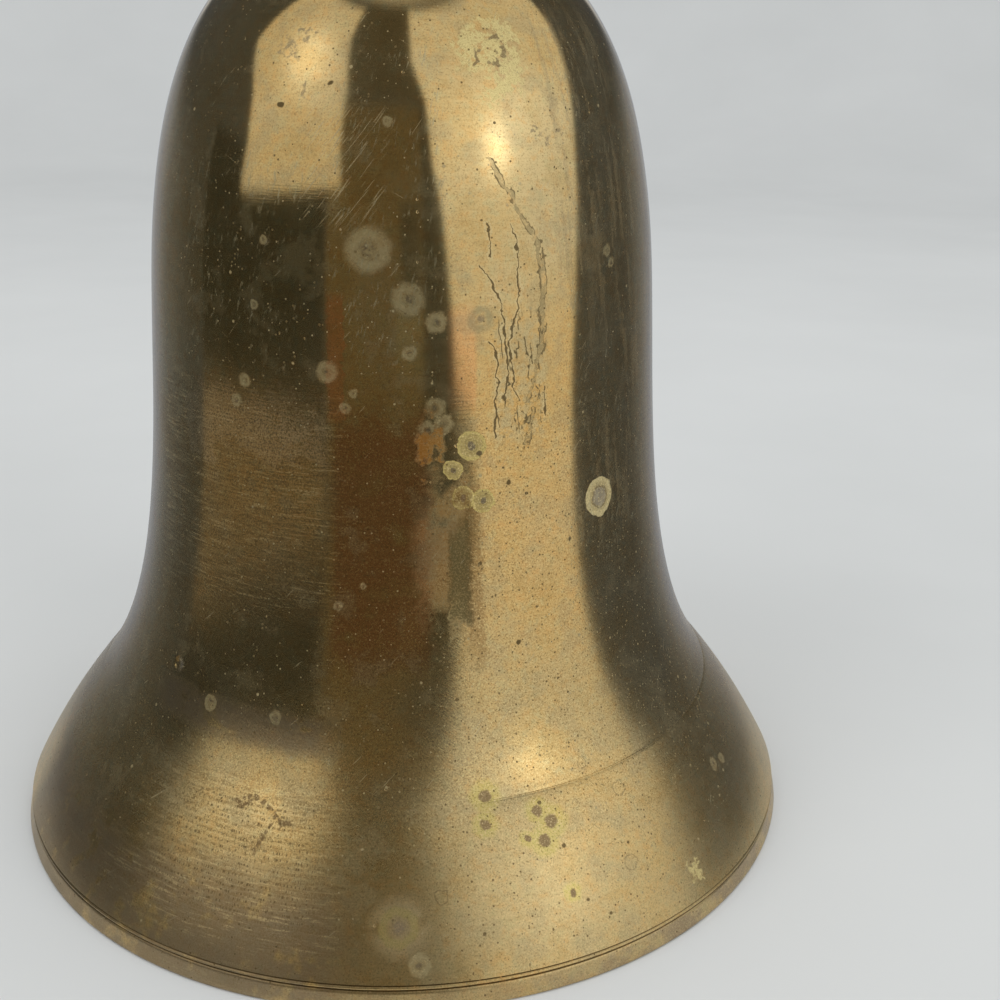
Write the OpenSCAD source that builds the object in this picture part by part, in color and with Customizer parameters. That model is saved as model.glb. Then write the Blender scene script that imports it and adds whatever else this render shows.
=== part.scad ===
// Brass hand bell with a turned wooden handle, a through rod and a hinged clapper.
// Millimetres. The origin is the centre of the mouth, on the surface the bell stands on, and +Z runs up the bell.

/* [Mouth and rim] */
// Outside diameter of the mouth
mouth_d = 127; // [115:1:140]
// Radius that breaks the outer corner of the lip
lip_round = 0.4; // [0.2:0.05:0.8]
// Width of the flat ring that the bell stands on
foot_w = 2.8; // [1.5:0.1:4]
// Height of the plain band round the rim
band_h = 2.6; // [1.6:0.1:4]
// How far the top of that band leans in
band_lean = 0.65; // [0.2:0.05:1.2]
// Width of each turned line above the band
line_w = 0.36; // [0.2:0.02:0.6]
// Depth of each turned line
line_depth = 0.26; // [0.1:0.02:0.4]
// Width of the thin bead between the two lines
bead_w = 0.4; // [0.2:0.02:0.8]

/* [Bell body] */
// Height of the crown above the mouth
crown_z = 134; // [124:1:145]
// Diameter of the flat seat on the crown
crown_seat_d = 30; // [26:0.5:34]
// Diameter at the turned line between bow and flare
step_d = 100.4; // [94:0.2:106]
// Height of that line
step_z = 22.3; // [18:0.1:27]
// How far the bow swells out from a straight cone
bow_bulge = 0.65; // [0:0.05:2]
// Lean of the wall just above the line, in degrees
flare_lean = 36; // [30:1:42]
// Reach of the flare's curve from the line
flare_reach = 17.5; // [12:0.5:22]
// Diameter at the top of the waist
waist_d = 76.1; // [70:0.1:82]
// Height at which the waist meets the shoulder
waist_z = 84; // [78:0.5:90]
// Lean of the wall there, in degrees
waist_lean = 3.6; // [1:0.2:6]
// Reach of the waist's curve below that height
waist_reach = 22.3; // [16:0.1:28]
// Reach of the shoulder's curve above that height
shoulder_reach = 26; // [20:0.5:31]
// Lean of the shoulder where it meets the seat, in degrees
crown_lean = 66; // [58:1:74]
// Reach of the shoulder's curve from the seat
crown_reach = 17.4; // [12:0.2:21]
// Width of the turned line at the top of the bow
step_line_w = 0.4; // [0.2:0.05:0.8]
// Depth of that line
step_line_depth = 0.16; // [0.05:0.01:0.3]

/* [Wall] */
// Wall at the rim
rim_wall = 4; // [3:0.1:5]
// Wall at the bow, where the clapper strikes
bow_wall = 5.8; // [4.5:0.1:7]
// Height at which the wall is thickest
bow_wall_z = 21; // [14:0.5:28]
// Wall of the waist
waist_wall = 3; // [2.2:0.1:4]
// Height at which the wall has thinned to that of the waist
waist_wall_z = 58; // [48:1:72]
// Wall of the crown
crown_wall = 4; // [3:0.1:5.5]
// Diameter of the hole through the crown
crown_hole_d = 8.6; // [8.4:0.1:9.4]

/* [Crown joint] */
// Diameter of the leather washer on the crown
pad_d = 29; // [24:0.5:30]
// Thickness of that washer
pad_t = 1.8; // [1:0.1:3]
// Diameter of the leather washer under the crown
inner_pad_d = 23; // [20:0.5:25]
// Thickness of that washer
inner_pad_t = 1.6; // [1:0.1:2.5]
// Diameter of the steel washer under it
clamp_washer_d = 21; // [17:0.5:23]
// Thickness of the steel washer
clamp_washer_t = 1.6; // [1:0.1:2.5]
// Width across the flats of both nuts on the rod
rod_nut_af = 13; // [12:0.5:14.5]
// Height of the nut that clamps the crown
crown_nut_h = 6.5; // [5:0.1:8]
// Height of the nut that locks the yoke
lock_nut_h = 4; // [3:0.1:5]

/* [Rod] */
// Diameter of the steel rod
rod_d = 8; // [7:0.1:8.2]
// Length of the rod inside the yoke
yoke_thread = 7; // [5:0.5:9]
// Length of the rod inside the knob
knob_thread = 10; // [7:0.5:11]

/* [Collar and ferrule] */
// Height of the turned collar
collar_h = 14; // [11:0.5:18]
// Diameter of the collar's foot
collar_foot_d = 27; // [24:0.5:29]
// Thickness of the rounded edge of the foot
collar_foot_t = 2.6; // [1.8:0.1:3.6]
// Diameter of the collar's waist
collar_waist_d = 17; // [15:0.2:18.5]
// Diameter of the ring at the collar's top
collar_ring_d = 25; // [23:0.2:27]
// Thickness of that ring
collar_ring_t = 3; // [2:0.1:4]
// Height of the ferrule
ferrule_h = 9; // [6:0.5:12]
// Wall of the ferrule
ferrule_wall = 1.1; // [0.8:0.05:1.6]

/* [Grip] */
// Length of the wooden grip
grip_len = 103; // [92:1:120]
// Diameter of the grip's two turned ends
grip_end_d = 20; // [18:0.2:21.4]
// Width of the bead at each shoulder
grip_bead_w = 4; // [3:0.1:5]
// How far each bead stands out
grip_bead_out = 1.2; // [0.6:0.1:2]
// Diameter of the lower neck
neck_d = 19.4; // [17:0.2:22]
// Height of the lower neck above the grip's foot
neck_z = 25; // [21:0.5:29]
// Diameter of the belly
belly_d = 31; // [27:0.5:35]
// Height of the belly above the grip's foot
belly_z = 66; // [58:0.5:72]
// Diameter of the grip just under the upper bead
grip_top_d = 22.4; // [20:0.2:25]
// Diameter of the hole through the grip
grip_hole_d = 8.8; // [8.4:0.1:10]

/* [Cap and knob] */
// Depth to which the cap covers the grip
cap_depth = 6; // [4:0.5:9]
// Wall of the cap's side
cap_wall = 1.2; // [0.9:0.05:1.6]
// Thickness of the cap's top at its centre
cap_top_t = 3.4; // [2.4:0.1:5]
// Diameter of the flat on the cap that the knob seats on
cap_flat_d = 16; // [14:0.2:18]
// Diameter of the knob's foot
knob_foot_d = 15; // [13.4:0.2:16]
// Thickness of the knob's foot
knob_foot_t = 2; // [1.2:0.1:3]
// Diameter of the knob's neck
knob_neck_d = 11.4; // [10.6:0.2:12.6]
// Diameter of the ball of the knob
knob_ball_d = 15.4; // [14:0.2:18]
// Height of the middle of that ball above the foot
knob_ball_z = 9.2; // [8:0.1:11]

/* [Yoke and pin] */
// Diameter of the yoke's boss
yoke_d = 15.2; // [14:0.2:18]
// Solid metal between the rod's end and the slot
yoke_web = 3; // [2:0.1:5]
// Thickness of each cheek
cheek_t = 3; // [2.4:0.1:4]
// Width of each cheek
cheek_w = 9; // [8:0.2:11]
// Diameter of the pin
pin_d = 4; // [3.4:0.1:4.4]
// Diameter of the pin's head
pin_head_d = 7; // [6:0.1:8]
// Thickness of the pin's head
pin_head_t = 1.6; // [1:0.1:2.4]
// Length of the pin past its washer
pin_tail = 3.4; // [2.8:0.1:5]
// Diameter of the pin's washer
pin_washer_d = 8; // [7:0.1:9]
// Thickness of the pin's washer
pin_washer_t = 0.8; // [0.5:0.1:1.2]
// Thickness of the doubled wire of the split pin
split_wire_d = 1.3; // [1:0.05:1.5]
// Length of the split pin below the pin
split_leg = 3; // [2:0.1:4]

/* [Clapper] */
// Diameter of the clapper's ball
ball_d = 22; // [18:0.5:26]
// Height of the ball's underside above the surface the bell stands on
ball_clear = 2.5; // [1.5:0.1:6]
// Diameter of the shank
shank_d = 5; // [4:0.1:5.6]
// Diameter of the eye at the top of the shank
eye_d = 10.4; // [9.6:0.1:11.6]
// Width of the eye along the pin
eye_w = 5.6; // [5:0.1:7]
// Outside diameter of the bush in the eye
bush_d = 6.4; // [5.8:0.1:7]
// Depth of the threaded hole in the ball
ball_thread = 12; // [8:0.5:14]
// Diameter of the flat on the ball under its nut
ball_flat_d = 10; // [9.6:0.2:12]
// Width across the flats of the nut on the ball
ball_nut_af = 8; // [7:0.5:9]
// Height of the nut on the ball
ball_nut_h = 4; // [3:0.1:5]

/* [Fits] */
// Radial play of a running fit
running_fit = 0.05; // [0.02:0.01:0.1]
// Radial play round a screwed or fixed piece
fixed_fit = 0.04; // [0.02:0.01:0.1]
// Side play between the eye and each cheek
side_play = 0.3; // [0.2:0.05:0.6]
// Gap over the eye at the root of the slot
eye_gap = 1; // [0.6:0.1:2]

/* [Hidden] */
$fn = 96;
curve_steps = 18;
arc_steps = 8;

brass = "#a98a4f";
dull_brass = "#8f7440";
steel = "#8c8f92";
bright_steel = "#b5b8ba";
wood = "#4a2a18";
leather = "#6b4526";

// Radii
mouth_r = mouth_d / 2;
step_r = step_d / 2;
waist_r = waist_d / 2;
seat_r = crown_seat_d / 2;
rod_r = rod_d / 2;
pin_r = pin_d / 2;
ball_r = ball_d / 2;
grip_end_r = grip_end_d / 2;

// Heights up the handle
pad_z = crown_z;
collar_z = pad_z + pad_t;
grip_z = collar_z + collar_h;
grip_top_z = grip_z + grip_len;
knob_z = grip_top_z + cap_top_t;
rod_top_z = knob_z + knob_thread;

// Heights down inside the bell
roof_z = crown_z - crown_wall;
inner_pad_z = roof_z - inner_pad_t;
clamp_washer_z = inner_pad_z - clamp_washer_t;
crown_nut_z = clamp_washer_z - crown_nut_h;
lock_nut_z = crown_nut_z - lock_nut_h;
rod_foot_z = lock_nut_z - yoke_thread;
slot_z = rod_foot_z - yoke_web;
pivot_z = slot_z - eye_gap - eye_d / 2;
ball_z = ball_clear + ball_r;
ball_flat_z = ball_z + sqrt(ball_r * ball_r - ball_flat_d * ball_flat_d / 4);
shank_foot_z = ball_flat_z - ball_thread;

// Widths across the pin
slot_w = eye_w + 2 * side_play;
cheek_y = slot_w / 2 + cheek_t;
pin_end_y = cheek_y + pin_washer_t + pin_tail;
split_y = cheek_y + pin_washer_t + fixed_fit + split_wire_d / 2;

// Points of an arc about [cx, cz], from angle a to angle b
function arc(cx, cz, r, a, b, steps = arc_steps) =
    [for (i = [0:steps]) let (t = a + (b - a) * i / steps) [cx + r * cos(t), cz + r * sin(t)]];

// Point at u on the cubic curve through p[0] and p[3], drawn by p[1] and p[2]
function on_curve(p, u) =
    pow(1 - u, 3) * p[0] + 3 * pow(1 - u, 2) * u * p[1] + 3 * (1 - u) * u * u * p[2] + pow(u, 3) * p[3];

// Direction of that curve at u
function along_curve(p, u) =
    3 * pow(1 - u, 2) * (p[1] - p[0]) + 6 * (1 - u) * u * (p[2] - p[1]) + 3 * u * u * (p[3] - p[2]);

// Points of that curve
function curve(p, steps = curve_steps) = [for (i = [0:steps]) on_curve(p, i / steps)];

// Direction up a wall that leans inwards by an angle from the vertical
function up(lean) = [-sin(lean), cos(lean)];

// Smooth change from a to b as u goes from 0 to 1
function blend(a, b, u) = a + (b - a) * (1 - cos(180 * max(0, min(1, u)))) / 2;

// Thickness of the bell's wall at height z
function wall_at(z) =
    z < bow_wall_z ? blend(rim_wall, bow_wall, z / bow_wall_z) :
    z < waist_wall_z ? blend(bow_wall, waist_wall, (z - bow_wall_z) / (waist_wall_z - bow_wall_z)) :
    blend(waist_wall, crown_wall, (z - waist_wall_z) / (crown_z - waist_wall_z));

// Point on the inside of the wall, behind a point p where the outside runs in direction d
function behind(p, d) = p - wall_at(p[1]) * [d[1], -d[0]] / norm(d);

// Outside of the bell, from the rim up
band_top = [mouth_r - band_lean, band_h];
bead_foot = band_top + [0, line_w];
bead_head = bead_foot + [0, bead_w];
bow_foot = bead_head + [0, line_w];
step_point = [step_r, step_z];
bow_chord = step_point - bow_foot;
bow_out = [bow_chord[1], -bow_chord[0]] / norm(bow_chord);
flare = [step_point, step_point + flare_reach * up(flare_lean),
    [waist_r, waist_z] - waist_reach * up(waist_lean), [waist_r, waist_z]];
shoulder = [[waist_r, waist_z], [waist_r, waist_z] + shoulder_reach * up(waist_lean),
    [seat_r, crown_z] - crown_reach * up(crown_lean), [seat_r, crown_z]];

function on_bow(u) = bow_foot + u * bow_chord + bow_bulge * 4 * u * (1 - u) * bow_out;
function along_bow(u) = bow_chord + bow_bulge * 4 * (1 - 2 * u) * bow_out;

bell_outside = concat(
    arc(mouth_r - lip_round, lip_round, lip_round, -90, 0, 4),
    [band_top, band_top + [-line_depth, line_w / 2], bead_foot],
    [[bead_foot[0] + bead_w / 4, bead_foot[1] + bead_w / 2], bead_head],
    [bead_head + [-line_depth, line_w / 2]],
    [for (i = [0:curve_steps - 1]) on_bow(i / curve_steps)],
    [step_point + [-step_line_depth, -step_line_w / 2], step_point + [0, step_line_w / 4]],
    [for (i = [1:curve_steps]) on_curve(flare, i / curve_steps)],
    [for (i = [1:curve_steps]) on_curve(shoulder, i / curve_steps)]);

// Inside of the bell, from the rim up, cut off by the flat roof
bell_inside = concat(
    [[mouth_r - lip_round - foot_w, 0]],
    [for (i = [0:curve_steps]) let (u = i / curve_steps) behind(on_bow(u), along_bow(u))],
    [for (i = [1:curve_steps]) let (u = i / curve_steps) behind(on_curve(flare, u), along_curve(flare, u))],
    [for (i = [1:curve_steps]) let (u = i / curve_steps, p = behind(on_curve(shoulder, u), along_curve(shoulder, u)))
        if (p[1] < roof_z - crown_wall / 8) p],
    [[inner_pad_d / 2 + 1, roof_z]]);

// Shapes turned about the axis of the bell
module ring(outer_d, inner_d, height, z) {
    translate([0, 0, z]) difference() {
        cylinder(d = outer_d, h = height);
        translate([0, 0, -1]) cylinder(d = inner_d, h = height + 2);
    }
}

module hex_nut(across_flats, height, hole_d, z) {
    corner_r = across_flats / sqrt(3);
    chamfer = (corner_r - across_flats / 2) * 0.6;
    translate([0, 0, z]) difference() {
        intersection() {
            cylinder(r = corner_r, h = height, $fn = 6);
            rotate_extrude() polygon([[0, 0], [across_flats / 2, 0], [corner_r, chamfer],
                [corner_r, height - chamfer], [across_flats / 2, height], [0, height]]);
        }
        translate([0, 0, -1]) cylinder(d = hole_d, h = height + 2);
    }
}

// The bell: one brass casting, turned outside and in, with a flat seat and a hole at the crown
module bell_shell() {
    hole_r = crown_hole_d / 2;
    inside_down = [for (i = [len(bell_inside) - 1:-1:0]) bell_inside[i]];
    color(brass) rotate_extrude()
        polygon(concat(bell_outside, [[hole_r, crown_z], [hole_r, roof_z]], inside_down));
}

module crown_washer() {
    color(leather) ring(pad_d, crown_hole_d, pad_t, pad_z);
}

// The collar: a turned brass foot for the handle, hollowed to a waist under a round ring
module handle_collar() {
    foot_r = collar_foot_d / 2;
    ring_r = collar_ring_d / 2;
    foot_edge = collar_foot_t / 2;
    ring_edge = collar_ring_t / 2;
    waist_r = collar_waist_d / 2;
    waist_h = (collar_foot_t + collar_h - collar_ring_t) / 2;
    cove = [[foot_r - foot_edge, collar_foot_t], [waist_r, collar_foot_t + 1], [waist_r, waist_h], [waist_r, waist_h]];
    cove_up = [[waist_r, waist_h], [waist_r, waist_h + 1], [waist_r, collar_h - collar_ring_t - 1],
        [ring_r - ring_edge, collar_h - collar_ring_t]];
    color(dull_brass) translate([0, 0, collar_z]) rotate_extrude() polygon(concat(
        [[crown_hole_d / 2, 0]],
        arc(foot_r - foot_edge, foot_edge, foot_edge, -90, 90),
        curve(cove, arc_steps),
        curve(cove_up, arc_steps),
        arc(ring_r - ring_edge, collar_h - ring_edge, ring_edge, -90, 90),
        [[crown_hole_d / 2, collar_h]]));
}

// The ferrule: a brass tube round the foot of the grip, with a rolled upper edge
module grip_ferrule() {
    hole_r = grip_end_r + fixed_fit;
    edge = ferrule_wall / 2;
    color(dull_brass) translate([0, 0, grip_z]) rotate_extrude() polygon(concat(
        [[hole_r, 0], [hole_r + ferrule_wall * 1.4, 0], [hole_r + ferrule_wall, ferrule_wall]],
        arc(hole_r + edge, ferrule_h - edge, edge, 0, 90, 4),
        [[hole_r, ferrule_h]]));
}

// The grip: hardwood turned between centres, with a bead at each shoulder and a belly for the hand
module handle_grip() {
    shoulder_r = grip_end_r + fixed_fit + ferrule_wall;
    low_bead = ferrule_h + grip_bead_w / 2;
    top_shoulder = grip_len - cap_depth;
    top_bead = top_shoulder - grip_bead_w / 2;
    neck_r = neck_d / 2;
    belly_r = belly_d / 2;
    swell = (belly_z - neck_z) * 0.45;
    low_neck = [[shoulder_r, ferrule_h + grip_bead_w], [neck_r, ferrule_h + grip_bead_w + 2],
        [neck_r, neck_z - 6], [neck_r, neck_z]];
    rise = [[neck_r, neck_z], [neck_r, neck_z + swell], [belly_r, belly_z - swell], [belly_r, belly_z]];
    fall = [[belly_r, belly_z], [belly_r, belly_z + 11], [grip_top_d / 2 + 1, top_bead - 9],
        [grip_top_d / 2, top_bead - grip_bead_w / 2]];
    color(wood) translate([0, 0, grip_z]) rotate_extrude() polygon(concat(
        [[grip_hole_d / 2, 0], [grip_end_r, 0], [grip_end_r, ferrule_h], [shoulder_r, ferrule_h]],
        [for (p = arc(0, low_bead, 1, -90, 90)) [shoulder_r + grip_bead_out * p[0], low_bead
            + (p[1] - low_bead) * grip_bead_w / 2]],
        curve(low_neck, arc_steps),
        curve(rise),
        curve(fall),
        [for (p = arc(0, top_bead, 1, -90, 90)) [shoulder_r + grip_bead_out * p[0], top_bead
            + (p[1] - top_bead) * grip_bead_w / 2]],
        [[grip_end_r, top_shoulder], [grip_end_r, grip_len], [grip_hole_d / 2, grip_len]]));
}

// The cap: a turned brass cup over the top of the grip
module grip_cap() {
    hole_r = grip_end_r + fixed_fit;
    side_r = hole_r + cap_wall;
    flat_r = cap_flat_d / 2;
    crest = [[side_r, cap_depth - 1], [side_r, cap_depth + cap_top_t * 0.6],
        [flat_r + 2, cap_depth + cap_top_t], [flat_r, cap_depth + cap_top_t]];
    color(dull_brass) translate([0, 0, grip_top_z - cap_depth]) rotate_extrude() polygon(concat(
        [[hole_r, cap_depth], [hole_r, 0], [side_r, 0]],
        curve(crest, arc_steps),
        [[grip_hole_d / 2, cap_depth + cap_top_t], [grip_hole_d / 2, cap_depth]]));
}

// The knob: a turned brass finial, screwed on the top of the rod
module finial_knob() {
    foot_r = knob_foot_d / 2;
    edge = knob_foot_t / 2;
    neck_r = knob_neck_d / 2;
    knob_r = knob_ball_d / 2;
    hole_r = rod_r + fixed_fit;
    meet = asin(neck_r / knob_r);
    color(dull_brass) translate([0, 0, knob_z]) rotate_extrude() polygon(concat(
        [[0, knob_thread], [hole_r, knob_thread], [hole_r, 0]],
        arc(foot_r - edge, edge, edge, -90, 90),
        [[neck_r, knob_foot_t + 0.4]],
        arc(0, knob_ball_z, knob_r, meet - 90, 90, curve_steps)));
}

// The rod: plain steel from the yoke to the knob, drawing the bell and the handle together
module tie_rod() {
    chamfer = rod_r / 8;
    color(steel) rotate_extrude() polygon([[0, rod_foot_z], [rod_r - chamfer, rod_foot_z],
        [rod_r, rod_foot_z + chamfer], [rod_r, rod_top_z - chamfer], [rod_r - chamfer, rod_top_z], [0, rod_top_z]]);
}

module inner_washer() {
    color(leather) ring(inner_pad_d, crown_hole_d, inner_pad_t, inner_pad_z);
}

module clamp_washer() {
    color(bright_steel) ring(clamp_washer_d, crown_hole_d, clamp_washer_t, clamp_washer_z);
}

module crown_nut() {
    color(steel) hex_nut(rod_nut_af, crown_nut_h, rod_d + 2 * fixed_fit, crown_nut_z);
}

module yoke_lock_nut() {
    color(steel) hex_nut(rod_nut_af, lock_nut_h, rod_d + 2 * fixed_fit, lock_nut_z);
}

// The yoke: a steel boss screwed on the foot of the rod, with two cheeks that hold the pin
module clapper_yoke() {
    cheek_h = slot_z - pivot_z;
    color(steel) difference() {
        union() {
            translate([0, 0, slot_z]) cylinder(d = yoke_d, h = lock_nut_z - slot_z);
            for (side = [-1, 1]) {
                translate([-cheek_w / 2, side * (cheek_y - cheek_t / 2) - cheek_t / 2, pivot_z])
                    cube([cheek_w, cheek_t, cheek_h + yoke_web / 2]);
                translate([0, side * (cheek_y - cheek_t / 2), pivot_z]) rotate([90, 0, 0])
                    cylinder(d = cheek_w, h = cheek_t, center = true);
            }
        }
        translate([0, 0, rod_foot_z]) cylinder(d = rod_d + 2 * fixed_fit, h = yoke_thread + 1);
        translate([0, 0, pivot_z]) rotate([90, 0, 0])
            cylinder(d = pin_d + 2 * fixed_fit, h = 2 * cheek_y + 2, center = true);
    }
}

// The pin: a headed steel pin along Y, drilled across its tail for the split pin
module clapper_pin() {
    color(bright_steel) translate([0, 0, pivot_z]) difference() {
        union() {
            translate([0, -cheek_y, 0]) rotate([-90, 0, 0]) cylinder(d = pin_d, h = cheek_y + pin_end_y);
            translate([0, -cheek_y, 0]) rotate([90, 0, 0]) cylinder(d = pin_head_d, h = pin_head_t);
        }
        translate([0, split_y, 0]) cylinder(d = split_wire_d, h = pin_d + 2, center = true);
    }
}

module pin_washer() {
    color(bright_steel) translate([0, cheek_y, pivot_z]) rotate([-90, 0, 0])
        ring(pin_washer_d, pin_d + 2 * fixed_fit, pin_washer_t, 0);
}

// The split pin: an eye over the pin, a doubled wire sprung tight in its hole, and two ends spread below
module split_pin() {
    wire_r = split_wire_d / 2;
    eye_r = split_wire_d;
    spread = 32;
    color(bright_steel) translate([0, split_y, pivot_z]) {
        translate([0, 0, -pin_r - split_leg / 2]) cylinder(r = wire_r, h = pin_d + split_leg / 2 + eye_r / 2);
        translate([0, 0, pin_r + eye_r + wire_r]) rotate([90, 0, 0]) rotate_extrude()
            translate([eye_r, 0]) circle(r = wire_r, $fn = 24);
        for (side = [-1, 1])
            translate([0, 0, -pin_r - split_leg / 2]) rotate([0, 180 + side * spread, 0])
                cylinder(r = wire_r * 0.7, h = split_leg);
    }
}

// The shank: a forged steel rod with an eye that turns between the cheeks
module clapper_shank() {
    color(steel) difference() {
        union() {
            translate([0, 0, pivot_z]) rotate([90, 0, 0]) cylinder(d = eye_d, h = eye_w, center = true);
            translate([0, 0, shank_foot_z]) cylinder(d = shank_d, h = pivot_z - shank_foot_z);
        }
        translate([0, 0, pivot_z]) rotate([90, 0, 0]) cylinder(d = bush_d, h = eye_w + 2, center = true);
    }
}

module eye_bush() {
    color(brass) translate([0, eye_w / 2, pivot_z]) rotate([90, 0, 0])
        ring(bush_d, pin_d + 2 * running_fit, eye_w, 0);
}

// The ball: turned brass, screwed on the foot of the shank
module clapper_ball() {
    color(dull_brass) difference() {
        translate([0, 0, ball_z]) sphere(d = ball_d);
        translate([0, 0, ball_flat_z]) cylinder(d = ball_d, h = ball_r);
        translate([0, 0, shank_foot_z]) cylinder(d = shank_d + 2 * fixed_fit, h = ball_d);
    }
}

module ball_nut() {
    color(steel) hex_nut(ball_nut_af, ball_nut_h, shank_d + 2 * fixed_fit, ball_flat_z);
}

bell_shell();
crown_washer();
handle_collar();
grip_ferrule();
handle_grip();
grip_cap();
finial_knob();
tie_rod();
inner_washer();
clamp_washer();
crown_nut();
yoke_lock_nut();
clapper_yoke();
clapper_pin();
pin_washer();
split_pin();
clapper_shank();
eye_bush();
clapper_ball();
ball_nut();
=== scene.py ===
"""Looks of a brass hand bell with a turned wooden handle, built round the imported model.

The frame has +Z up and the mouth at z 0. Sizes are in millimetres and become metres where a mesh is made.
"""

import bmesh
import bpy
import numpy as np
from mathutils import Matrix, Vector


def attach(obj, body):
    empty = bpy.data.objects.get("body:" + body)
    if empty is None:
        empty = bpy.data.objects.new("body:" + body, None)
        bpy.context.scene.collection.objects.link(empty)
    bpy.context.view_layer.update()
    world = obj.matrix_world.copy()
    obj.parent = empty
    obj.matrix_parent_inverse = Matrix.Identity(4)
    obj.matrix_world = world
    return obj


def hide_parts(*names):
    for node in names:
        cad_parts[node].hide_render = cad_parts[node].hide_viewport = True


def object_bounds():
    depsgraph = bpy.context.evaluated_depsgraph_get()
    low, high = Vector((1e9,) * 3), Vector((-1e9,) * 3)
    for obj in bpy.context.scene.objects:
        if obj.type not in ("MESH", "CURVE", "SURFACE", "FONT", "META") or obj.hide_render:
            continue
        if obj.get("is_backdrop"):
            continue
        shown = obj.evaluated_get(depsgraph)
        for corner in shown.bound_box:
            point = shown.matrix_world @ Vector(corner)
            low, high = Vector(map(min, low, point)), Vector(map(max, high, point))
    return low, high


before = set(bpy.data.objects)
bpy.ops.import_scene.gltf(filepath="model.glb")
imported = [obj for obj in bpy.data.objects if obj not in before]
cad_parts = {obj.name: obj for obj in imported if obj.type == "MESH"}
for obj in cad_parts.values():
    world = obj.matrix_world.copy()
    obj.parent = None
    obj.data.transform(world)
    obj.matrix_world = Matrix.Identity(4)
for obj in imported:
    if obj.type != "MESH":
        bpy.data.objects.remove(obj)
cad_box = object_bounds()
MM = 0.001


# Camera: close in front of the bell and a little above it, with the shoulder cut off by the frame.
# It stands 196 mm in front of the axis and looks down by 20 degrees, rolled by one degree.
camera = bpy.data.objects.new("camera", bpy.data.cameras.new("camera"))
bpy.context.scene.collection.objects.link(camera)
bpy.context.scene.camera = camera
camera_turn, camera_dip, camera_roll = 0.077923, 0.352872, 0.017884
ahead = Vector((
    np.sin(camera_turn) * np.cos(camera_dip), np.cos(camera_turn) * np.cos(camera_dip), -np.sin(camera_dip)
))
level = Vector((np.cos(camera_turn), -np.sin(camera_turn), 0.0))
right = level * np.cos(camera_roll) + level.cross(ahead) * np.sin(camera_roll)
above = right.cross(ahead)
camera.matrix_world = Matrix((right, above, -ahead)).transposed().to_4x4()
camera.location = (0.0, -0.195981, 0.120249)
camera.data.lens = 45.521
camera.data.sensor_width = 36.0
camera.data.clip_start = 0.01
camera.data.clip_end = 50.0


# Stage: a round sweep of pale paper, flat under the bell and curved up to a wall all round it.
# Only its middle throws light back, and polished metal sees the room where the paper is further off.
def placed(name, mesh, *materials):
    """Object at the origin, unturned and unscaled, whose mesh holds its place."""
    mesh.name = name
    for material in materials:
        mesh.materials.append(material)
    piece = bpy.data.objects.new(name, mesh)
    bpy.context.scene.collection.objects.link(piece)
    return piece


def skin(rows, loop=False, lengths=None):
    """Mesh of a grid of points, rows x columns. Columns close on themselves, and rows too where loop is true;
    a row whose points all meet is a pole. UV map wrap holds the share round and the share along the rows."""
    rows = np.asarray(rows, float)
    count, across = rows.shape[:2]
    i = np.arange(count if loop else count - 1)[:, None]
    j = np.arange(across)[None, :]
    corner = lambda a, b: (a % count) * across + b % across
    around = (corner(i, j), corner(i, j + 1), corner(i + 1, j + 1), corner(i + 1, j))
    faces = np.stack(around, -1).reshape(-1, 4)
    mesh = bpy.data.meshes.new("skin")
    mesh.from_pydata(rows.reshape(-1, 3).tolist(), [], faces.tolist())
    along = np.append(np.linspace(0.0, 1.0, count) if lengths is None else lengths, 1.0)
    u = np.stack([j, j + 1, j + 1, j], -1) / across + 0.0 * i[..., None]
    v = np.stack([along[i], along[i], along[i + 1], along[i + 1]], -1) + 0.0 * j[..., None]
    wrap = mesh.uv_layers.new(name="wrap")
    wrap.data.foreach_set("uv", np.stack([u, v], -1).astype(np.float32).ravel())
    work = bmesh.new()
    work.from_mesh(mesh)
    bmesh.ops.remove_doubles(work, verts=work.verts, dist=1e-7)
    return smoothed(work, mesh)


def smoothed(work, mesh):
    """Writes finished mesh work into a mesh, shaded smooth except at edges of more than 40 degrees."""
    work.to_mesh(mesh)
    work.free()
    mesh.shade_smooth()
    mesh.set_sharp_from_angle(angle=np.radians(40.0))
    return mesh


def turned(profile, turns=192, loop=True, lie_at=None, wobble=None):
    """Surface of revolution: profile points (radius, height) in mm, turned about the axis from the back seam.
    With lie_at the axis lies along Y at that height. wobble(azimuth, radius, height) adds to the radius."""
    profile = np.asarray(profile, float)
    azimuth = (np.arange(turns) / turns * 2.0 - 1.0) * np.pi
    radius, height = profile[:, :1], profile[:, 1:]
    if wobble is not None:
        radius = radius + wobble(azimuth[None, :], radius, height)
    x, y, z = radius * np.sin(azimuth), -radius * np.cos(azimuth), height + 0.0 * azimuth
    rows = np.stack([x, y, z] if lie_at is None else [x, z, lie_at - y], -1)
    gaps = np.linalg.norm(np.diff(profile, axis=0), axis=1)
    lengths = np.append(0.0, np.cumsum(gaps)) / (gaps.sum() + np.linalg.norm(profile[0] - profile[-1]) * loop)
    return skin(rows * MM, loop, lengths)


def node(tree, kind, inputs=(), **settings):
    """New shader node. inputs gives some of its sockets a number, place, colour, field or other socket."""
    made = tree.nodes.new("ShaderNode" + kind)
    for name, value in settings.items():
        setattr(made, name, value)
    for name, value in dict(inputs).items():
        socket, value = made.inputs[name], getattr(value, "socket", value)
        if isinstance(value, bpy.types.NodeSocket):
            tree.links.new(value, socket)
        else:
            socket.default_value = (*value, 1.0) if socket.type == "RGBA" else value
    return made


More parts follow.
